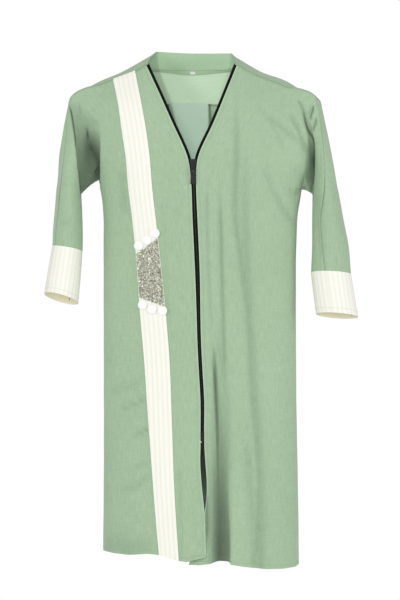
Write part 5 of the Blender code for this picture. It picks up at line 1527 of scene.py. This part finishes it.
neckLight = {
    # painted shade: the fronts keep the light from the cloth just inside the neck's edges, most on the right
    "heights": (-180.0, -156.0, -98.0, -60.0, -44.0, 2.0, 24.0),
    "rightEdge": (0.0, -5.0, -30.0, -39.0, -45.0, -62.0, -64.0),
    "leftEdge": (0.0, 6.0, 30.0, 44.0, 44.0, 62.0, 62.0),
    "rightDark": (0.30, 0.25),     # at the collar, and what is added lower down
    "lower": (58.0, 12.0),         # depth where that starts, and its run
    "leftDark": 0.16,
    "rightSoft": (-2.5, 5.0),      # where the dark starts from each edge, and its run
    "leftSoft": (-2.1, 7.0),
}


def neckShade(x, z):
    # painted shade inside the neck, for the yoke, collar, neck tape, back and underlay
    rightEdge = np.interp(z, neckLight["heights"], neckLight["rightEdge"])
    leftEdge = np.interp(z, neckLight["heights"], neckLight["leftEdge"])
    dark, more = neckLight["rightDark"]
    right = (dark + more * rise(-z, *neckLight["lower"])) * rise(rightEdge - x, *neckLight["rightSoft"])
    left = neckLight["leftDark"] * rise(x - leftEdge, *neckLight["leftSoft"])
    return np.maximum(right, left)


insideLight = {
    # painted shade: inside the back, little light reaches the pleat's gap beside its underlay
    "gapInner": (32.0, 2.0),            # from the back's middle: where it darkens, and over what width
    "gapOuter": (75.0, 25.0),
    "gapEnd": (-330.0, 120.0),          # height
    "gapDark": (0.34, 0.58),            # at the top, and what is added below
    "gapFull": (70.0, 40.0),            # depth below the shoulder where that starts, and its run
    "gapDeepest": (0.9, 35.0, 4.5),     # darkness, place, width
    # painted shade too: nor does much reach the cloth behind the slit, but for a bit near the hem
    "slitDark": (0.84, 0.2),
    "slitTop": (590.0, 60.0),
    "slitHem": (680.0, 60.0),
    "slitMiddle": 14.0,
    "slitReach": (70.0, 45.0),
}


def slitShade(z):
    dark, lighter = insideLight["slitDark"]
    return rise(-z, *insideLight["slitTop"]) * (dark - lighter * rise(-z, *insideLight["slitHem"]))


def insideShade(x, z):
    # painted shade on the back's inside: the pleat's gap, behind the slit, and inside the neck
    aside = np.abs(x - bodyShape["backMiddle"])
    outer, outerRun = insideLight["gapOuter"]
    gap = rise(aside, *insideLight["gapInner"]) * rise(-aside, -outer, outerRun)
    gap = gap * rise(z, *insideLight["gapEnd"])
    atTop, below = insideLight["gapDark"]
    darkest, darkestAt, width = insideLight["gapDeepest"]
    deep = atTop + below * rise(-z, *insideLight["gapFull"])
    deep = np.maximum(deep, darkest * bump(aside - darkestAt, width))
    reach, reachRun = insideLight["slitReach"]
    slit = rise(-np.abs(x - insideLight["slitMiddle"]), -reach, reachRun) * slitShade(z)
    return np.maximum(np.maximum(deep * gap, slit), neckShade(x, z))


def makePanel(name, halves):
    sheets = [sheet for half, mirrored in halves for sheet in halfSheets(half, mirrored)]
    inner = insideShade if name == "back" else None
    panel = clothPiece(name, clothFacts["thickness"], sheets, sage, "sage_crepe", inner)


makePanel("right_front", ((rightFront, True),))
makePanel("left_front", ((leftFront, False),))
makePanel("back", ((rightBack, True), (leftBack, False)))


def makeYokeAndCollar():
    collar, collarNormals = collarSheet(yoke[0])
    shareSeam(yoke[0], yokeNormals[0], collar[0], collarNormals[0])
    drawBack(yoke[0], yoke[1])
    drawBack(collar[0], collar[1])
    yokePiece = clothPiece("back_yoke", clothFacts["thickness"], [(yoke, yokeNormals)], sage, "sage_crepe",
                           neckShade)
    collarPiece = clothPiece("collar", clothFacts["firm"], [(collar, collarNormals)],
                             (looks["sageCrepe"], looks["collarInsideLit"]), "sage_crepe", neckShade)


makeYokeAndCollar()


def cuffSheet(rings, bodyRings, front, back):
    angle = seamAngle(bodyRings, 1.0)
    frontAngles = np.linspace(angle, 180.0, front.count - front.sleeveStart + 1)
    backAngles = np.linspace(180.0, 360.0 + angle, back.count - back.sleeveStart + 1)
    angles = np.concatenate([frontAngles[:-1], backAngles])
    shares = np.linspace(0.0, 1.0, meshFaces["cuffRows"] + 1)
    points, normals = zip(*(ringAt(rings, share, angles) for share in shares))
    points, normals = np.array(points), np.array(normals)
    points[:, -1], normals[:, -1] = points[:, 0], normals[:, 0]
    drawBack(points[0], points[1], clothFacts["seam"])
    return points, normals


def makeCuff(name, front, back):
    side = name.split("_")[0]
    points, normals = cuffSheet(sleeveRings[side + "Cuff"], sleeveRings[side], front, back)
    cuff = clothPiece(name, clothFacts["firm"], [(points, normals)],
                      (looks["cuffStripes"], looks["cuffInside"]), "striped_cream")
    return points, normals


rightCuff = makeCuff("right_cuff", rightFront, rightBack)
leftCuff = makeCuff("left_cuff", leftFront, leftBack)


def makeBand():
    first, last = bandShape["first"], bandShape["last"] + 1
    points, normals = (part[:, first:last] for part in bodyAndUpper(rightFront))
    raised = points + normals * (clothFacts["seam"] + clothFacts["trim"])
    band = clothPiece("stripe_band", clothFacts["trim"], [(raised, normals)], (looks["bandStripes"],),
                      "striped_cream")


makeBand()
print("cuffs and band made")


# smaller cloth: the pleat's underlay, the neck tape, the label and the patch's ground

pleatShape = {
    "columns": 25,
    "wave": (0.4, 47.0, 19.0),       # depth, length down, length across
    "sides": (-42.2, 23.5),
    "top": -61.6,
    "bottom": -818.0,
    "inset": 4.2,
}


def makeUnderlay():
    # a flat underlay just inside the back, from the yoke seam down
    blade = meshFaces["back"][0]
    rows = []
    for right, left in zip(bodyAndUpper(rightBack)[0], bodyAndUpper(leftBack)[0]):
        row = np.concatenate([right[blade::-1], left[1:blade + 1]])
        ends = [readRow(x, row[:, 0], row) for x in pleatShape["sides"]]
        shares = np.linspace(0.0, 1.0, pleatShape["columns"])[:, None]
        rows.append(ends[0] + (ends[1] - ends[0]) * shares)
    rows = np.array(rows)[::2]
    depth, down, across = pleatShape["wave"]
    wave = depth * np.sin(rows[:, :, 2] / down) * np.sin(rows[:, :, 0] / across)
    rows[:, :, 1] -= pleatShape["inset"] + wave
    rows[0, :, 2] = pleatShape["top"]
    rows[-1, :, 2] = pleatShape["bottom"]
    sheet = (rows, np.broadcast_to(np.array([0.0, 1.0, 0.0]), rows.shape))

    def underlayShade(x, z):
        # painted shade on the underlay: behind the slit and beside the neck's edges
        return np.maximum(slitShade(z), neckShade(x, z))

    piece = clothPiece("back_pleat", clothFacts["trim"], [sheet], (looks["pleatCrepe"],), "sage_crepe_inside",
                       underlayShade)


neckTrim = {
    "tapeRows": 9,
    "labelPoints": (13, 7),          # across and down
    "labelCurl": 0.25,
    "tapeReach": (0.2, 0.8),
    "tapeDrop": (0.5, 8.7),
    "labelSize": (8.5, 4.8),
    "labelThickness": 0.5,
    "labelMiddle": (-2.4, -9.9),
}


def makeNeckTape():
    shares = chordShares(yoke[0])
    reach = neckTrim["tapeReach"]
    columns = [i for i, share in enumerate(shares) if reach[0] <= share <= reach[1]]
    inset = clothFacts["thickness"] + clothFacts["seam"]
    places = [[downYoke(yoke, yokeNormals, column, drop) for column in columns]
              for drop in np.linspace(*neckTrim["tapeDrop"], neckTrim["tapeRows"])]
    normals = np.array([[normal for _, normal in row] for row in places])
    points = np.array([[point for point, _ in row] for row in places]) - normals * inset
    tape = clothPiece("neck_tape", clothFacts["trim"], [(points, normals)], (looks["neckTape"],),
                      "sage_crepe_inside", neckShade)

    centre = min(columns, key=lambda column: abs(yoke[0, column, 0] - neckTrim["labelMiddle"][0]))
    point, normal = downYoke(yoke, yokeNormals, centre, yoke[0, centre, 2] - neckTrim["labelMiddle"][1])
    face = point - normal * (inset + clothFacts["trim"] + clothFacts["seam"])
    width, height = neckTrim["labelSize"]
    face[0] = neckTrim["labelMiddle"][0]
    drop = unit(np.cross(np.array([1.0, 0, 0]), normal))
    drop = drop if drop[2] < 0 else -drop
    across, down = (np.linspace(-size / 2, size / 2, count)
                    for size, count in zip((width, height), neckTrim["labelPoints"]))
    grid = face + across[None, :, None] * np.array([1.0, 0, 0]) + down[:, None, None] * drop
    grid = grid - normal * (neckTrim["labelCurl"] * (down / height + 0.5) ** 2)[:, None, None]
    sheet = (grid, np.broadcast_to(normal, grid.shape))
    label = clothPiece("neck_label", neckTrim["labelThickness"], [sheet], (looks["label"],), "label_cloth")
    return points, normals


def patchGrid(lift, margin, rows=29, columns=21):
    # places over the band between the patch's slanted ends
    first, last = bandShape["first"] + margin, bandShape["last"] - margin
    (topOuter, topInner), (lowOuter, lowInner) = bandShape["patchTop"], bandShape["patchBottom"]
    places = []
    for down in np.linspace(0.0, 1.0, rows):
        for across in np.linspace(0.0, 1.0, columns):
            top = topInner + (topOuter - topInner) * across
            low = lowInner + (lowOuter - lowInner) * across
            places.append(onFront(rightFront, first + (last - first) * across, top + (low - top) * down))
    points, normals = (np.array(part).reshape(rows, columns, 3) for part in zip(*places))
    return points + normals * lift, normals


def makePatchGround():
    lift = 2 * (clothFacts["seam"] + clothFacts["trim"])
    ground = clothPiece("sequin_patch", clothFacts["trim"], [patchGrid(lift, bandShape["patchMargin"])],
                        (looks["patchGround"],), "glitter")


makeUnderlay()
neckTapeRows = makeNeckTape()
makePatchGround()
print("small cloth made")


# white domed discs at the patch's ends

discShape = {
    "radius": 7.9,
    "rim": 1.2,
    "crown": 1.6,
    "edge": ((0.99, 0.45), (0.95, 0.1), (0.9, 0.0)),      # shares of the radius and of the rim
    "middles": ((-92.9, -306.3), (-79.2, -297.2), (-65.4, -285.1),
                (-86.4, -406.3), (-70.4, -413.6), (-52.8, -416.0)),
}


def makeDiscs():
    radius, rim, crown = discShape["radius"], discShape["rim"], discShape["crown"]
    bend = np.linspace(0.0, math.pi / 2, 9)
    profile = [(radius * math.sin(a), rim + crown * math.cos(a)) for a in bend[1:]]
    profile += [(radius * out, rim * up) for out, up in discShape["edge"]]
    turns = np.linspace(0.0, 2 * math.pi, 49)[:-1]
    for number, (x, height) in enumerate(discShape["middles"], 1):
        point, normal = onFront(rightFront, bandColumn(rightFront, x, height), height)
        seat = Vector(point + normal * (2 * clothFacts["seam"] + clothFacts["trim"] + 0.1))
        turn = Vector(normal).to_track_quat("Z", "Y")
        work = bmesh.new()
        rings = [[work.verts.new((turn @ Vector((r * math.cos(a), r * math.sin(a), z)) + seat) * mm)
                  for a in turns] for r, z in profile]
        for upper, lower in zip(rings, rings[1:]):
            for i in range(len(turns)):
                j = (i + 1) % len(turns)
                work.faces.new((upper[i], lower[i], lower[j], upper[j]))
        work.faces.new(rings[-1][::-1])
        top = work.verts.new((turn @ Vector((0, 0, rim + crown)) + seat) * mm)
        for i in range(len(turns)):
            work.faces.new((top, rings[0][i], rings[0][(i + 1) % len(turns)]))
        mesh = bpy.data.meshes.new(f"white_disc_{number}_gloss")
        work.to_mesh(mesh)
        work.free()
        mesh.shade_smooth()
        mesh.materials.append(looks["whiteDisc"])
        wearPiece(newObject(mesh.name, mesh), "white_gloss", f"white_disc_{number}")


makeDiscs()


# strips swept along a path: each place has a point, a direction across and one outwards

def sweepStrip(name, places, section, material):
    # the section gives (across, outward) corners; it may change along the path
    rings = [[point + across * out - outward * deep for out, deep in section(height)]
             for height, point, across, outward in places]
    rings = np.array(rings)
    rows, count = rings.shape[:2]
    index = np.arange(rows * count).reshape(rows, count)
    following = np.roll(index, -1, axis=1)
    faces = np.stack([index[:-1], following[:-1], following[1:], index[1:]], axis=2).reshape(-1, 4).tolist()
    faces.append(index[0][::-1].tolist())
    faces.append(index[-1].tolist())
    mesh = bpy.data.meshes.new(name)
    mesh.from_pydata(rings.reshape(-1, 3) * mm, [], faces)
    work = bmesh.new()
    work.from_mesh(mesh)
    bmesh.ops.recalc_face_normals(work, faces=work.faces)
    work.to_mesh(mesh)
    work.free()
    mesh.materials.append(material)
    layer = mesh.uv_layers.new(name="clothMap")
    along = runLength(rings[:, 0])
    maps = np.stack([np.tile(np.arange(count) * 0.6, (rows, 1)),
                     -np.tile(along[:, None], (1, count))], axis=2)
    corners = np.zeros(len(mesh.loops), dtype=np.int32)
    mesh.loops.foreach_get("vertex_index", corners)
    layer.data.foreach_set("uv", (maps.reshape(-1, 2) * mm)[corners].ravel())
    mesh.shade_smooth()
    mesh.set_sharp_from_angle(angle=math.radians(45))
    return newObject(name, mesh)


def roundSection(radius, centre, sides=10):
    turns = np.linspace(0.0, 2 * math.pi, sides + 1)[:-1]
    corners = [(centre[0] + radius * math.cos(a), centre[1] + radius * math.sin(a)) for a in turns]
    return lambda height: corners


zipShape = {
    "top": 1.0,
    "coilEnd": -619.6,
    "end": -644.0,
    "tapeWidth": 6.4,        # behind the cloth
    "tapeFront": 1.55,       # how far in the tape's two faces lie
    "tapeBack": 2.45,
    "revealInV": 2.9,        # tape that shows beside the coil where the zip is open
    "openAbove": -160,
    "coilWidth": 2.1,
    "coilRise": 0.75,
    "tooth": (1.35, 0.85, 2.5, 1.5),     # pitch, along, across, out
    "coilRound": (0.25, 0.35, 0.3),      # corners cut off the coil: by the tape, in front and behind
    "tapeRound": (0.2, 0.1),             # how far the tape's edge is rounded, sideways and in depth
}


def zipSection(height):
    reveal = zipReveal(height)
    width, front, back = zipShape["tapeWidth"], zipShape["tapeFront"], zipShape["tapeBack"]
    if height < zipShape["coilEnd"]:
        aside, deep = zipShape["tapeRound"]
        return [(-width, back), (-width, front), (reveal * 0.5, front), (reveal, front),
                (reveal + aside, front + deep), (reveal + 1.5 * aside, (front + back) / 2),
                (reveal + aside, back - deep), (reveal, back)]
    edge = reveal + zipShape["coilWidth"]
    crown = front - zipShape["coilRise"]
    byTape, inFront, behind = zipShape["coilRound"]
    return [(-width, back), (-width, front), (reveal, front), (reveal + byTape, crown),
            (edge - inFront, crown), (edge, front - inFront), (edge, back - behind), (edge - behind, back)]


def makeZipTapes():
    for name, half in (("zip_right", rightFront), ("zip_left", leftFront)):
        heights = np.concatenate([np.arange(zipShape["top"], zipShape["coilEnd"], -4.0),
                                  [zipShape["coilEnd"] + 0.02, zipShape["coilEnd"] - 0.02],
                                  np.linspace(zipShape["coilEnd"] - 3, zipShape["end"], 6)])
        tape = sweepStrip(name + "_tape", zipFrames(half, heights), zipSection, looks["zipTape"])
        wearPiece(tape, "zip_tape", name)


makeZipTapes()


edgeRoll = {"radius": 0.72, "centre": (-0.55, 0.55), "rightEnd": -829.0, "leftEnd": -841.0}


def makeEdgeRolls():
    # the fronts' edges are turned under, and the fold stands up a little; its lighter crepe is a painted
    # highlight where it catches the light
    for name, half in (("right", rightFront), ("left", leftFront)):
        places = zipFrames(half, np.arange(0.0, edgeRoll[name + "End"], -4.0))
        roll = sweepStrip(name + "_edge_roll", places, roundSection(edgeRoll["radius"], edgeRoll["centre"]),
                          looks["edgeRoll"])
        wearPiece(roll, "sage_crepe")


makeEdgeRolls()
print("zip tapes and edges made")


# rows of small things along a path: stitches, overlock loops, zip teeth

def makeNodeTree(name, inputs, result, nodes, links):
    # nodes are label, kind, settings and socket values; links are node, output, node, input
    tree = bpy.data.node_groups.new(name, "GeometryNodeTree")
    for label, kind in inputs:
        tree.interface.new_socket(label, in_out="INPUT", socket_type="NodeSocket" + kind)
    tree.interface.new_socket(result, in_out="OUTPUT", socket_type="NodeSocketGeometry")
    made = {"given": tree.nodes.new("NodeGroupInput"), "result": tree.nodes.new("NodeGroupOutput")}
    for label, kind, settings, sockets in nodes:
        node = made[label] = tree.nodes.new(kind)
        for setting, value in settings.items():
            setattr(node, setting, value)
        for socket, value in sockets.items():
            node.inputs[socket].default_value = value
    for start, output, end, socket in links:
        tree.links.new(made[start].outputs[output], made[end].inputs[socket])
    return tree


def runTree(name, mesh, tree, values):
    # the tree runs once over the mesh, and its result is kept as a plain mesh
    source = newObject(name + "_path", mesh)
    modifier = source.modifiers.new("made", "NODES")
    modifier.node_group = tree
    for item in tree.interface.items_tree:
        if item.in_out == "INPUT" and item.name in values:
            modifier[item.identifier] = values[item.name]
    evaluated = source.evaluated_get(bpy.context.evaluated_depsgraph_get())
    result = bpy.data.meshes.new_from_object(evaluated)
    bpy.data.objects.remove(source, do_unlink=True)
    result.name = name
    print(name, "faces", len(result.polygons))
    return newObject(name, result)


beadTree = makeNodeTree(
    "beadRow",
    (("Path", "Geometry"), ("Pitch", "Float"), ("Along", "Float"), ("Across", "Float"), ("Out", "Float"),
     ("Material", "Material")),
    "Row",
    (("curve", "GeometryNodeMeshToCurve", {}, {}),
     ("even", "GeometryNodeResampleCurve", {"mode": "LENGTH"}, {}),
     ("bead", "GeometryNodeMeshUVSphere", {}, {"Segments": 6, "Rings": 4, "Radius": 0.5}),
     ("tangent", "GeometryNodeInputTangent", {}, {}),
     ("outward", "GeometryNodeInputNamedAttribute", {"data_type": "FLOAT_VECTOR"}, {"Name": "outward"}),
     ("along", "FunctionNodeAlignRotationToVector", {"axis": "X"}, {}),
     ("faceOut", "FunctionNodeAlignRotationToVector", {"axis": "Z", "pivot_axis": "X"}, {}),
     ("size", "ShaderNodeCombineXYZ", {}, {}),
     ("placed", "GeometryNodeInstanceOnPoints", {}, {}),
     ("real", "GeometryNodeRealizeInstances", {}, {}),
     ("smooth", "GeometryNodeSetShadeSmooth", {}, {}),
     ("coloured", "GeometryNodeSetMaterial", {}, {})),
    (("given", "Path", "curve", "Mesh"), ("curve", 0, "even", "Curve"), ("given", "Pitch", "even", "Length"),
     ("tangent", 0, "along", "Vector"), ("along", 0, "faceOut", "Rotation"),
     ("outward", 0, "faceOut", "Vector"),
     ("given", "Along", "size", 0), ("given", "Across", "size", 1), ("given", "Out", "size", 2),
     ("even", 0, "placed", "Points"), ("bead", "Mesh", "placed", "Instance"),
     ("faceOut", 0, "placed", "Rotation"), ("size", 0, "placed", "Scale"), ("placed", 0, "real", 0),
     ("real", 0, "smooth", 0), ("smooth", 0, "coloured", "Geometry"),
     ("given", "Material", "coloured", "Material"), ("coloured", 0, "result", "Row")))


def makeRow(name, paths, look, slot, bead):
    # each path is a pair of arrays, points and outward directions; a bead is pitch, along, across, out
    mesh = bpy.data.meshes.new(name + "_line")
    edges, start = [], 0
    for points, _ in paths:
        edges += [(start + i, start + i + 1) for i in range(len(points) - 1)]
        start += len(points)
    mesh.from_pydata(np.concatenate([points for points, _ in paths]) * mm, edges, [])
    outward = mesh.attributes.new("outward", "FLOAT_VECTOR", "POINT")
    outward.data.foreach_set("vector", np.concatenate([normals for _, normals in paths]).ravel())
    values = {label: size * mm for label, size in zip(("Pitch", "Along", "Across", "Out"), bead)}
    values["Material"] = looks[look]
    wearPiece(runTree(name, mesh, beadTree, values), slot)


def atDistance(lines, distance, lift):
    # on each line of points and normals, the place at a distance from its start, a little above the cloth
    points = np.array([readRow(distance, runLength(line), line) for line, _ in lines])
    normals = np.array([unit(readRow(distance, runLength(line), outward)) for line, outward in lines])
    return points + normals * lift, normals


def besideEdge(half):
    # a line down a front beside its edge
    points, normals = (part[:, :stitching["reach"]] for part in bodyAndUpper(half))
    points, normals = atDistance(list(zip(points, normals)), stitching["besideZip"], stitching["lift"])
    keep = points[:, 2] > stitching["edgeEnd"]
    return points[keep], normals[keep]


def aboveHem(half):
    up = slice(None, -stitching["reach"], -1)
    lines = [(half.body[up, column], half.bodyNormals[up, column]) for column in range(1, half.bodyCount)]
    return atDistance(lines, stitching["aboveHem"], stitching["lift"])


def roundCuff(cuff):
    points, normals = cuff
    length = np.linalg.norm(points[-1] - points[0], axis=1).mean()
    row = (1.0 - stitching["aboveCuff"] / length) * (len(points) - 1)
    low, share = int(row), row - int(row)
    line = points[low] * (1 - share) + points[low + 1] * share
    outward = unit(normals[low] * (1 - share) + normals[low + 1] * share)
    return line + outward * stitching["lift"], outward


stitching = {
    "besideZip": 5.2,
    "edgeEnd": -836.0,
    "aboveHem": 6.0,
    "aboveCuff": 8.5,
    "lift": 0.12,
    "reach": 40,                       # points from an edge that a line beside it can need
    "overlockReach": 40,               # points to each side of the back's middle
    "cuffSeamsAt": (-211.0, 270.0),    # x of the right and left cuffs' seams
    "barTackAt": -637.5,
    "barTack": ((-1.5, -0.9, 0.0), (1.6, -0.9, 0.0)),
    # threads: pitch, along, across, out
    "stitch": (2.7, 2.15, 0.42, 0.34),
    "cuffSeam": (1.3, 0.9, 2.4, 0.7),
    "tapeStitch": (2.3, 2.0, 0.6, 0.45),
    "overlock": (1.0, 0.7, 2.6, 0.7),
    "tack": (0.9, 1.3, 1.7, 0.9),
}


def makeStitches():
    paths = [besideEdge(half) for half in (rightFront, leftFront)]
    paths += [aboveHem(half) for half in (rightFront, leftFront, rightBack, leftBack)]
    makeRow("sage_stitches", paths, "sageThread", "sage_crepe", stitching["stitch"])
    paths = [roundCuff(cuff) for cuff in (rightCuff, leftCuff)]
    makeRow("cuff_stitches", paths, "creamThread", "striped_cream", stitching["stitch"])
    # each cuff's seam, neatened inside
    paths = []
    for (points, normals), seamX in zip((rightCuff, leftCuff), stitching["cuffSeamsAt"]):
        ring = points[-1]
        inBack = ring[:, 1] > ring[:, 1].mean()
        column = int(np.argmin(np.where(inBack, np.abs(ring[:, 0] - seamX), np.inf)))
        outward = normals[:-1, column]
        paths.append((points[:-1, column] - outward * (clothFacts["firm"] + 0.25), -outward))
    makeRow("cuff_seams", paths, "brownThread", "striped_cream", stitching["cuffSeam"])
    points, normals = neckTapeRows
    inside = clothFacts["trim"] + 0.1
    paths = [(points[row] - normals[row] * inside, -normals[row]) for row in (0, -1)]
    makeRow("neck_tape_stitches", paths, "brownThread", "sage_crepe_inside", stitching["tapeStitch"])
    # the back's overlocked top edge, turned down inside below the yoke seam
    reach = stitching["overlockReach"]
    toRight, toLeft = (1, slice(reach, 0, -1)), (1, slice(0, reach + 1))
    low, outward = (np.concatenate(pair)
                    for pair in zip(rightBack.edge("upper", toRight), leftBack.edge("upper", toLeft)))
    outward = unit(outward)
    paths = [(low - outward * (clothFacts["thickness"] + 0.2), -outward)]
    makeRow("yoke_overlock", paths, "brownThread", "sage_crepe_inside", stitching["overlock"])
    # the white bar of thread that ends the zip
    point = zipFrames(rightFront, np.array([stitching["barTackAt"]]))[0][1]
    paths = [(point + np.array(stitching["barTack"]), np.array([[0.0, -1.0, 0.0]] * 2))]
    makeRow("zip_bar_tack", paths, "whiteThread", "zip_tape", stitching["tack"])


makeStitches()


def makeTeeth():
    # coil teeth down both tapes, from the neck to the end box
    paths = []
    deep = zipShape["tapeFront"] - zipShape["coilRise"]
    for half in (rightFront, leftFront):
        places = zipFrames(half, np.arange(zipShape["top"] - 2.0, zipShape["coilEnd"] + 1.0, -3.0))
        points = [point + across * (zipReveal(height) + zipShape["coilWidth"] / 2) - outward * deep
                  for height, point, across, outward in places]
        paths.append((np.array(points), np.array([place[3] for place in places])))
    makeRow("zip_teeth", paths, "zipCoil", "zip_tape", zipShape["tooth"])


makeTeeth()
print("stitches and teeth made")


# glitter: small flat sequins thrown over the patch, each at its own tilt and shade

sequinTree = makeNodeTree(
    "sequinScatter",
    (("Ground", "Geometry"), ("Spacing", "Float"), ("Radius", "Float"), ("Tilt", "Float"), ("Seed", "Int"),
     ("Material", "Material")),
    "Sequins",
    (("thrown", "GeometryNodeDistributePointsOnFaces", {"distribute_method": "POISSON"},
      {"Density Max": 2000000.0}),
     ("disc", "GeometryNodeMeshCylinder", {}, {"Vertices": 7, "Radius": 1.0, "Depth": 0.22}),
     ("minus", "ShaderNodeMath", {"operation": "MULTIPLY"}, {1: -1.0}),
     ("least", "ShaderNodeCombineXYZ", {}, {}),
     ("most", "ShaderNodeCombineXYZ", {}, {2: math.pi}),
     ("tilt", "FunctionNodeRandomValue", {"data_type": "FLOAT_VECTOR"}, {}),
     ("toTurn", "FunctionNodeEulerToRotation", {}, {}),
     ("turned", "FunctionNodeRotateRotation", {"rotation_space": "LOCAL"}, {}),
     ("spread", "FunctionNodeRandomValue", {}, {2: 0.6, 3: 1.15}),
     ("size", "ShaderNodeMath", {"operation": "MULTIPLY"}, {}),
     ("placed", "GeometryNodeInstanceOnPoints", {}, {}),
     ("tint", "FunctionNodeRandomValue", {}, {"Seed": 5}),
     ("marked", "GeometryNodeStoreNamedAttribute", {"domain": "INSTANCE"}, {"Name": "sequinToneAndGlint"}),
     ("real", "GeometryNodeRealizeInstances", {}, {}),
     ("coloured", "GeometryNodeSetMaterial", {}, {})),
    (("given", "Ground", "thrown", "Mesh"), ("given", "Spacing", "thrown", "Distance Min"),
     ("given", "Seed", "thrown", "Seed"), ("given", "Tilt", "minus", 0),
     ("given", "Tilt", "most", 0), ("given", "Tilt", "most", 1),
     ("minus", 0, "least", 0), ("minus", 0, "least", 1),
     ("least", 0, "tilt", "Min"), ("most", 0, "tilt", "Max"), ("tilt", "Value", "toTurn", 0),
     ("thrown", "Rotation", "turned", "Rotation"), ("toTurn", 0, "turned", "Rotate By"),
     ("spread", 1, "size", 0), ("given", "Radius", "size", 1),
     ("thrown", "Points", "placed", "Points"), ("disc", "Mesh", "placed", "Instance"),
     ("turned", 0, "placed", "Rotation"), ("size", 0, "placed", "Scale"),
     ("placed", 0, "marked", "Geometry"), ("tint", 1, "marked", "Value"), ("marked", 0, "real", 0),
     ("real", 0, "coloured", "Geometry"), ("given", "Material", "coloured", "Material"),
     ("coloured", 0, "result", "Sequins")))


sequinFacts = {"spacing": 1.25, "radius": 1.0, "tilt": 0.55, "seed": 11, "lift": 0.25}


def makeSequins():
    lift = 2 * (clothFacts["seam"] + clothFacts["trim"]) + sequinFacts["lift"]
    points, _ = patchGrid(lift, bandShape["patchMargin"] + 0.02 * fine)
    rows, columns = points.shape[:2]
    index = np.arange(rows * columns).reshape(rows, columns)
    faces = np.stack([index[:-1, :-1], index[1:, :-1], index[1:, 1:], index[:-1, 1:]], axis=2).reshape(-1, 4)
    ground = bpy.data.meshes.new("sequin_ground")
    ground.from_pydata(points.reshape(-1, 3) * mm, [], faces.tolist())
    if ground.polygons[0].normal.y > 0:
        ground.flip_normals()
    values = {"Spacing": sequinFacts["spacing"] * mm, "Radius": sequinFacts["radius"] * mm,
              "Tilt": sequinFacts["tilt"], "Seed": sequinFacts["seed"], "Material": looks["sequin"]}
    wearPiece(runTree("sequins", ground, sequinTree, values), "glitter")


makeSequins()
print("glitter made")


# the zip's hard pieces keep the model's own shape

for node in ("zip_slider", "zip_pull_tab", "zip_end_box"):
    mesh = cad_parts[node].data
    mesh.materials.clear()
    mesh.materials.append(looks["zipLacquer"])


# the studio: a pale floor, broad soft light, and a level camera far off

studio = {
    "floorRadius": 1.6,
    "floorLevel": -1.0,
    "worldLight": 0.49,
    "backdrop": 1.0,
    "lamps": {
        # name: place, size, watts, aimed at
        "key": ((-2.5, -2.4, 1.1), 0.8, 31.0, (0, 0, -0.4)),
        "front": ((-0.3, -4.0, 0.1), 1.0, 44.0, (0, 0, -0.4)),
        "fill": ((3.0, -1.5, -0.1), 1.6, 36.0, (0, 0, -0.4)),
        "side": ((-3.2, -0.9, -0.3), 1.4, 7.0, (-0.1, 0, -0.4)),
    },
    "cameraPlace": (0.0102, -10.0, -0.3978),
    "pictureHeight": 1.02,       # metres that the picture is high, at the garment
    "sensor": 36.0,
}


def makeWorld():
    # the backdrop is pure white to the camera and a softer light on the cloth
    world = bpy.data.worlds.new("studioLight")
    world.use_nodes = True
    nodes, link = world.node_tree.nodes, world.node_tree.links.new
    light, backdrop = nodes["Background"], nodes.new("ShaderNodeBackground")
    for node, strength in ((light, studio["worldLight"]), (backdrop, studio["backdrop"])):
        node.inputs["Color"].default_value = (1.0, 1.0, 1.0, 1.0)
        node.inputs["Strength"].default_value = strength
    seen = nodes.new("ShaderNodeLightPath")
    both = nodes.new("ShaderNodeMixShader")
    link(seen.outputs["Is Camera Ray"], both.inputs[0])
    link(light.outputs[0], both.inputs[1])
    link(backdrop.outputs[0], both.inputs[2])
    link(both.outputs[0], nodes["World Output"].inputs["Surface"])
    bpy.context.scene.world = world


def makeStudio():
    around = np.linspace(0.0, 2 * math.pi, 64, endpoint=False)
    radius, level = studio["floorRadius"], studio["floorLevel"]
    floorMesh = bpy.data.meshes.new("floor")
    rim = [(radius * math.cos(a), radius * math.sin(a), level) for a in around]
    floorMesh.from_pydata(rim, [], [range(len(rim))])
    floorMesh.materials.append(looks["floorPaint"])
    newObject("floor", floorMesh)
    for name, (place, size, watts, target) in studio["lamps"].items():
        lamp = bpy.data.lights.new(name, "AREA")
        lamp.energy = watts
        lamp.size = size
        thing = newObject(name, lamp)
        thing.location = place
        thing.rotation_euler = (Vector(target) - Vector(place)).to_track_quat("-Z", "Y").to_euler()
    makeWorld()
    camera = bpy.data.cameras.new("camera")
    camera.sensor_width = studio["sensor"]
    camera.lens = -studio["sensor"] * studio["cameraPlace"][1] / studio["pictureHeight"]
    thing = newObject("camera", camera)
    thing.location = studio["cameraPlace"]
    thing.rotation_euler = (math.pi / 2, 0.0, 0.0)
    bpy.context.scene.camera = thing
    bpy.context.scene.view_settings.view_transform = "Standard"


makeStudio()
print("studio made")
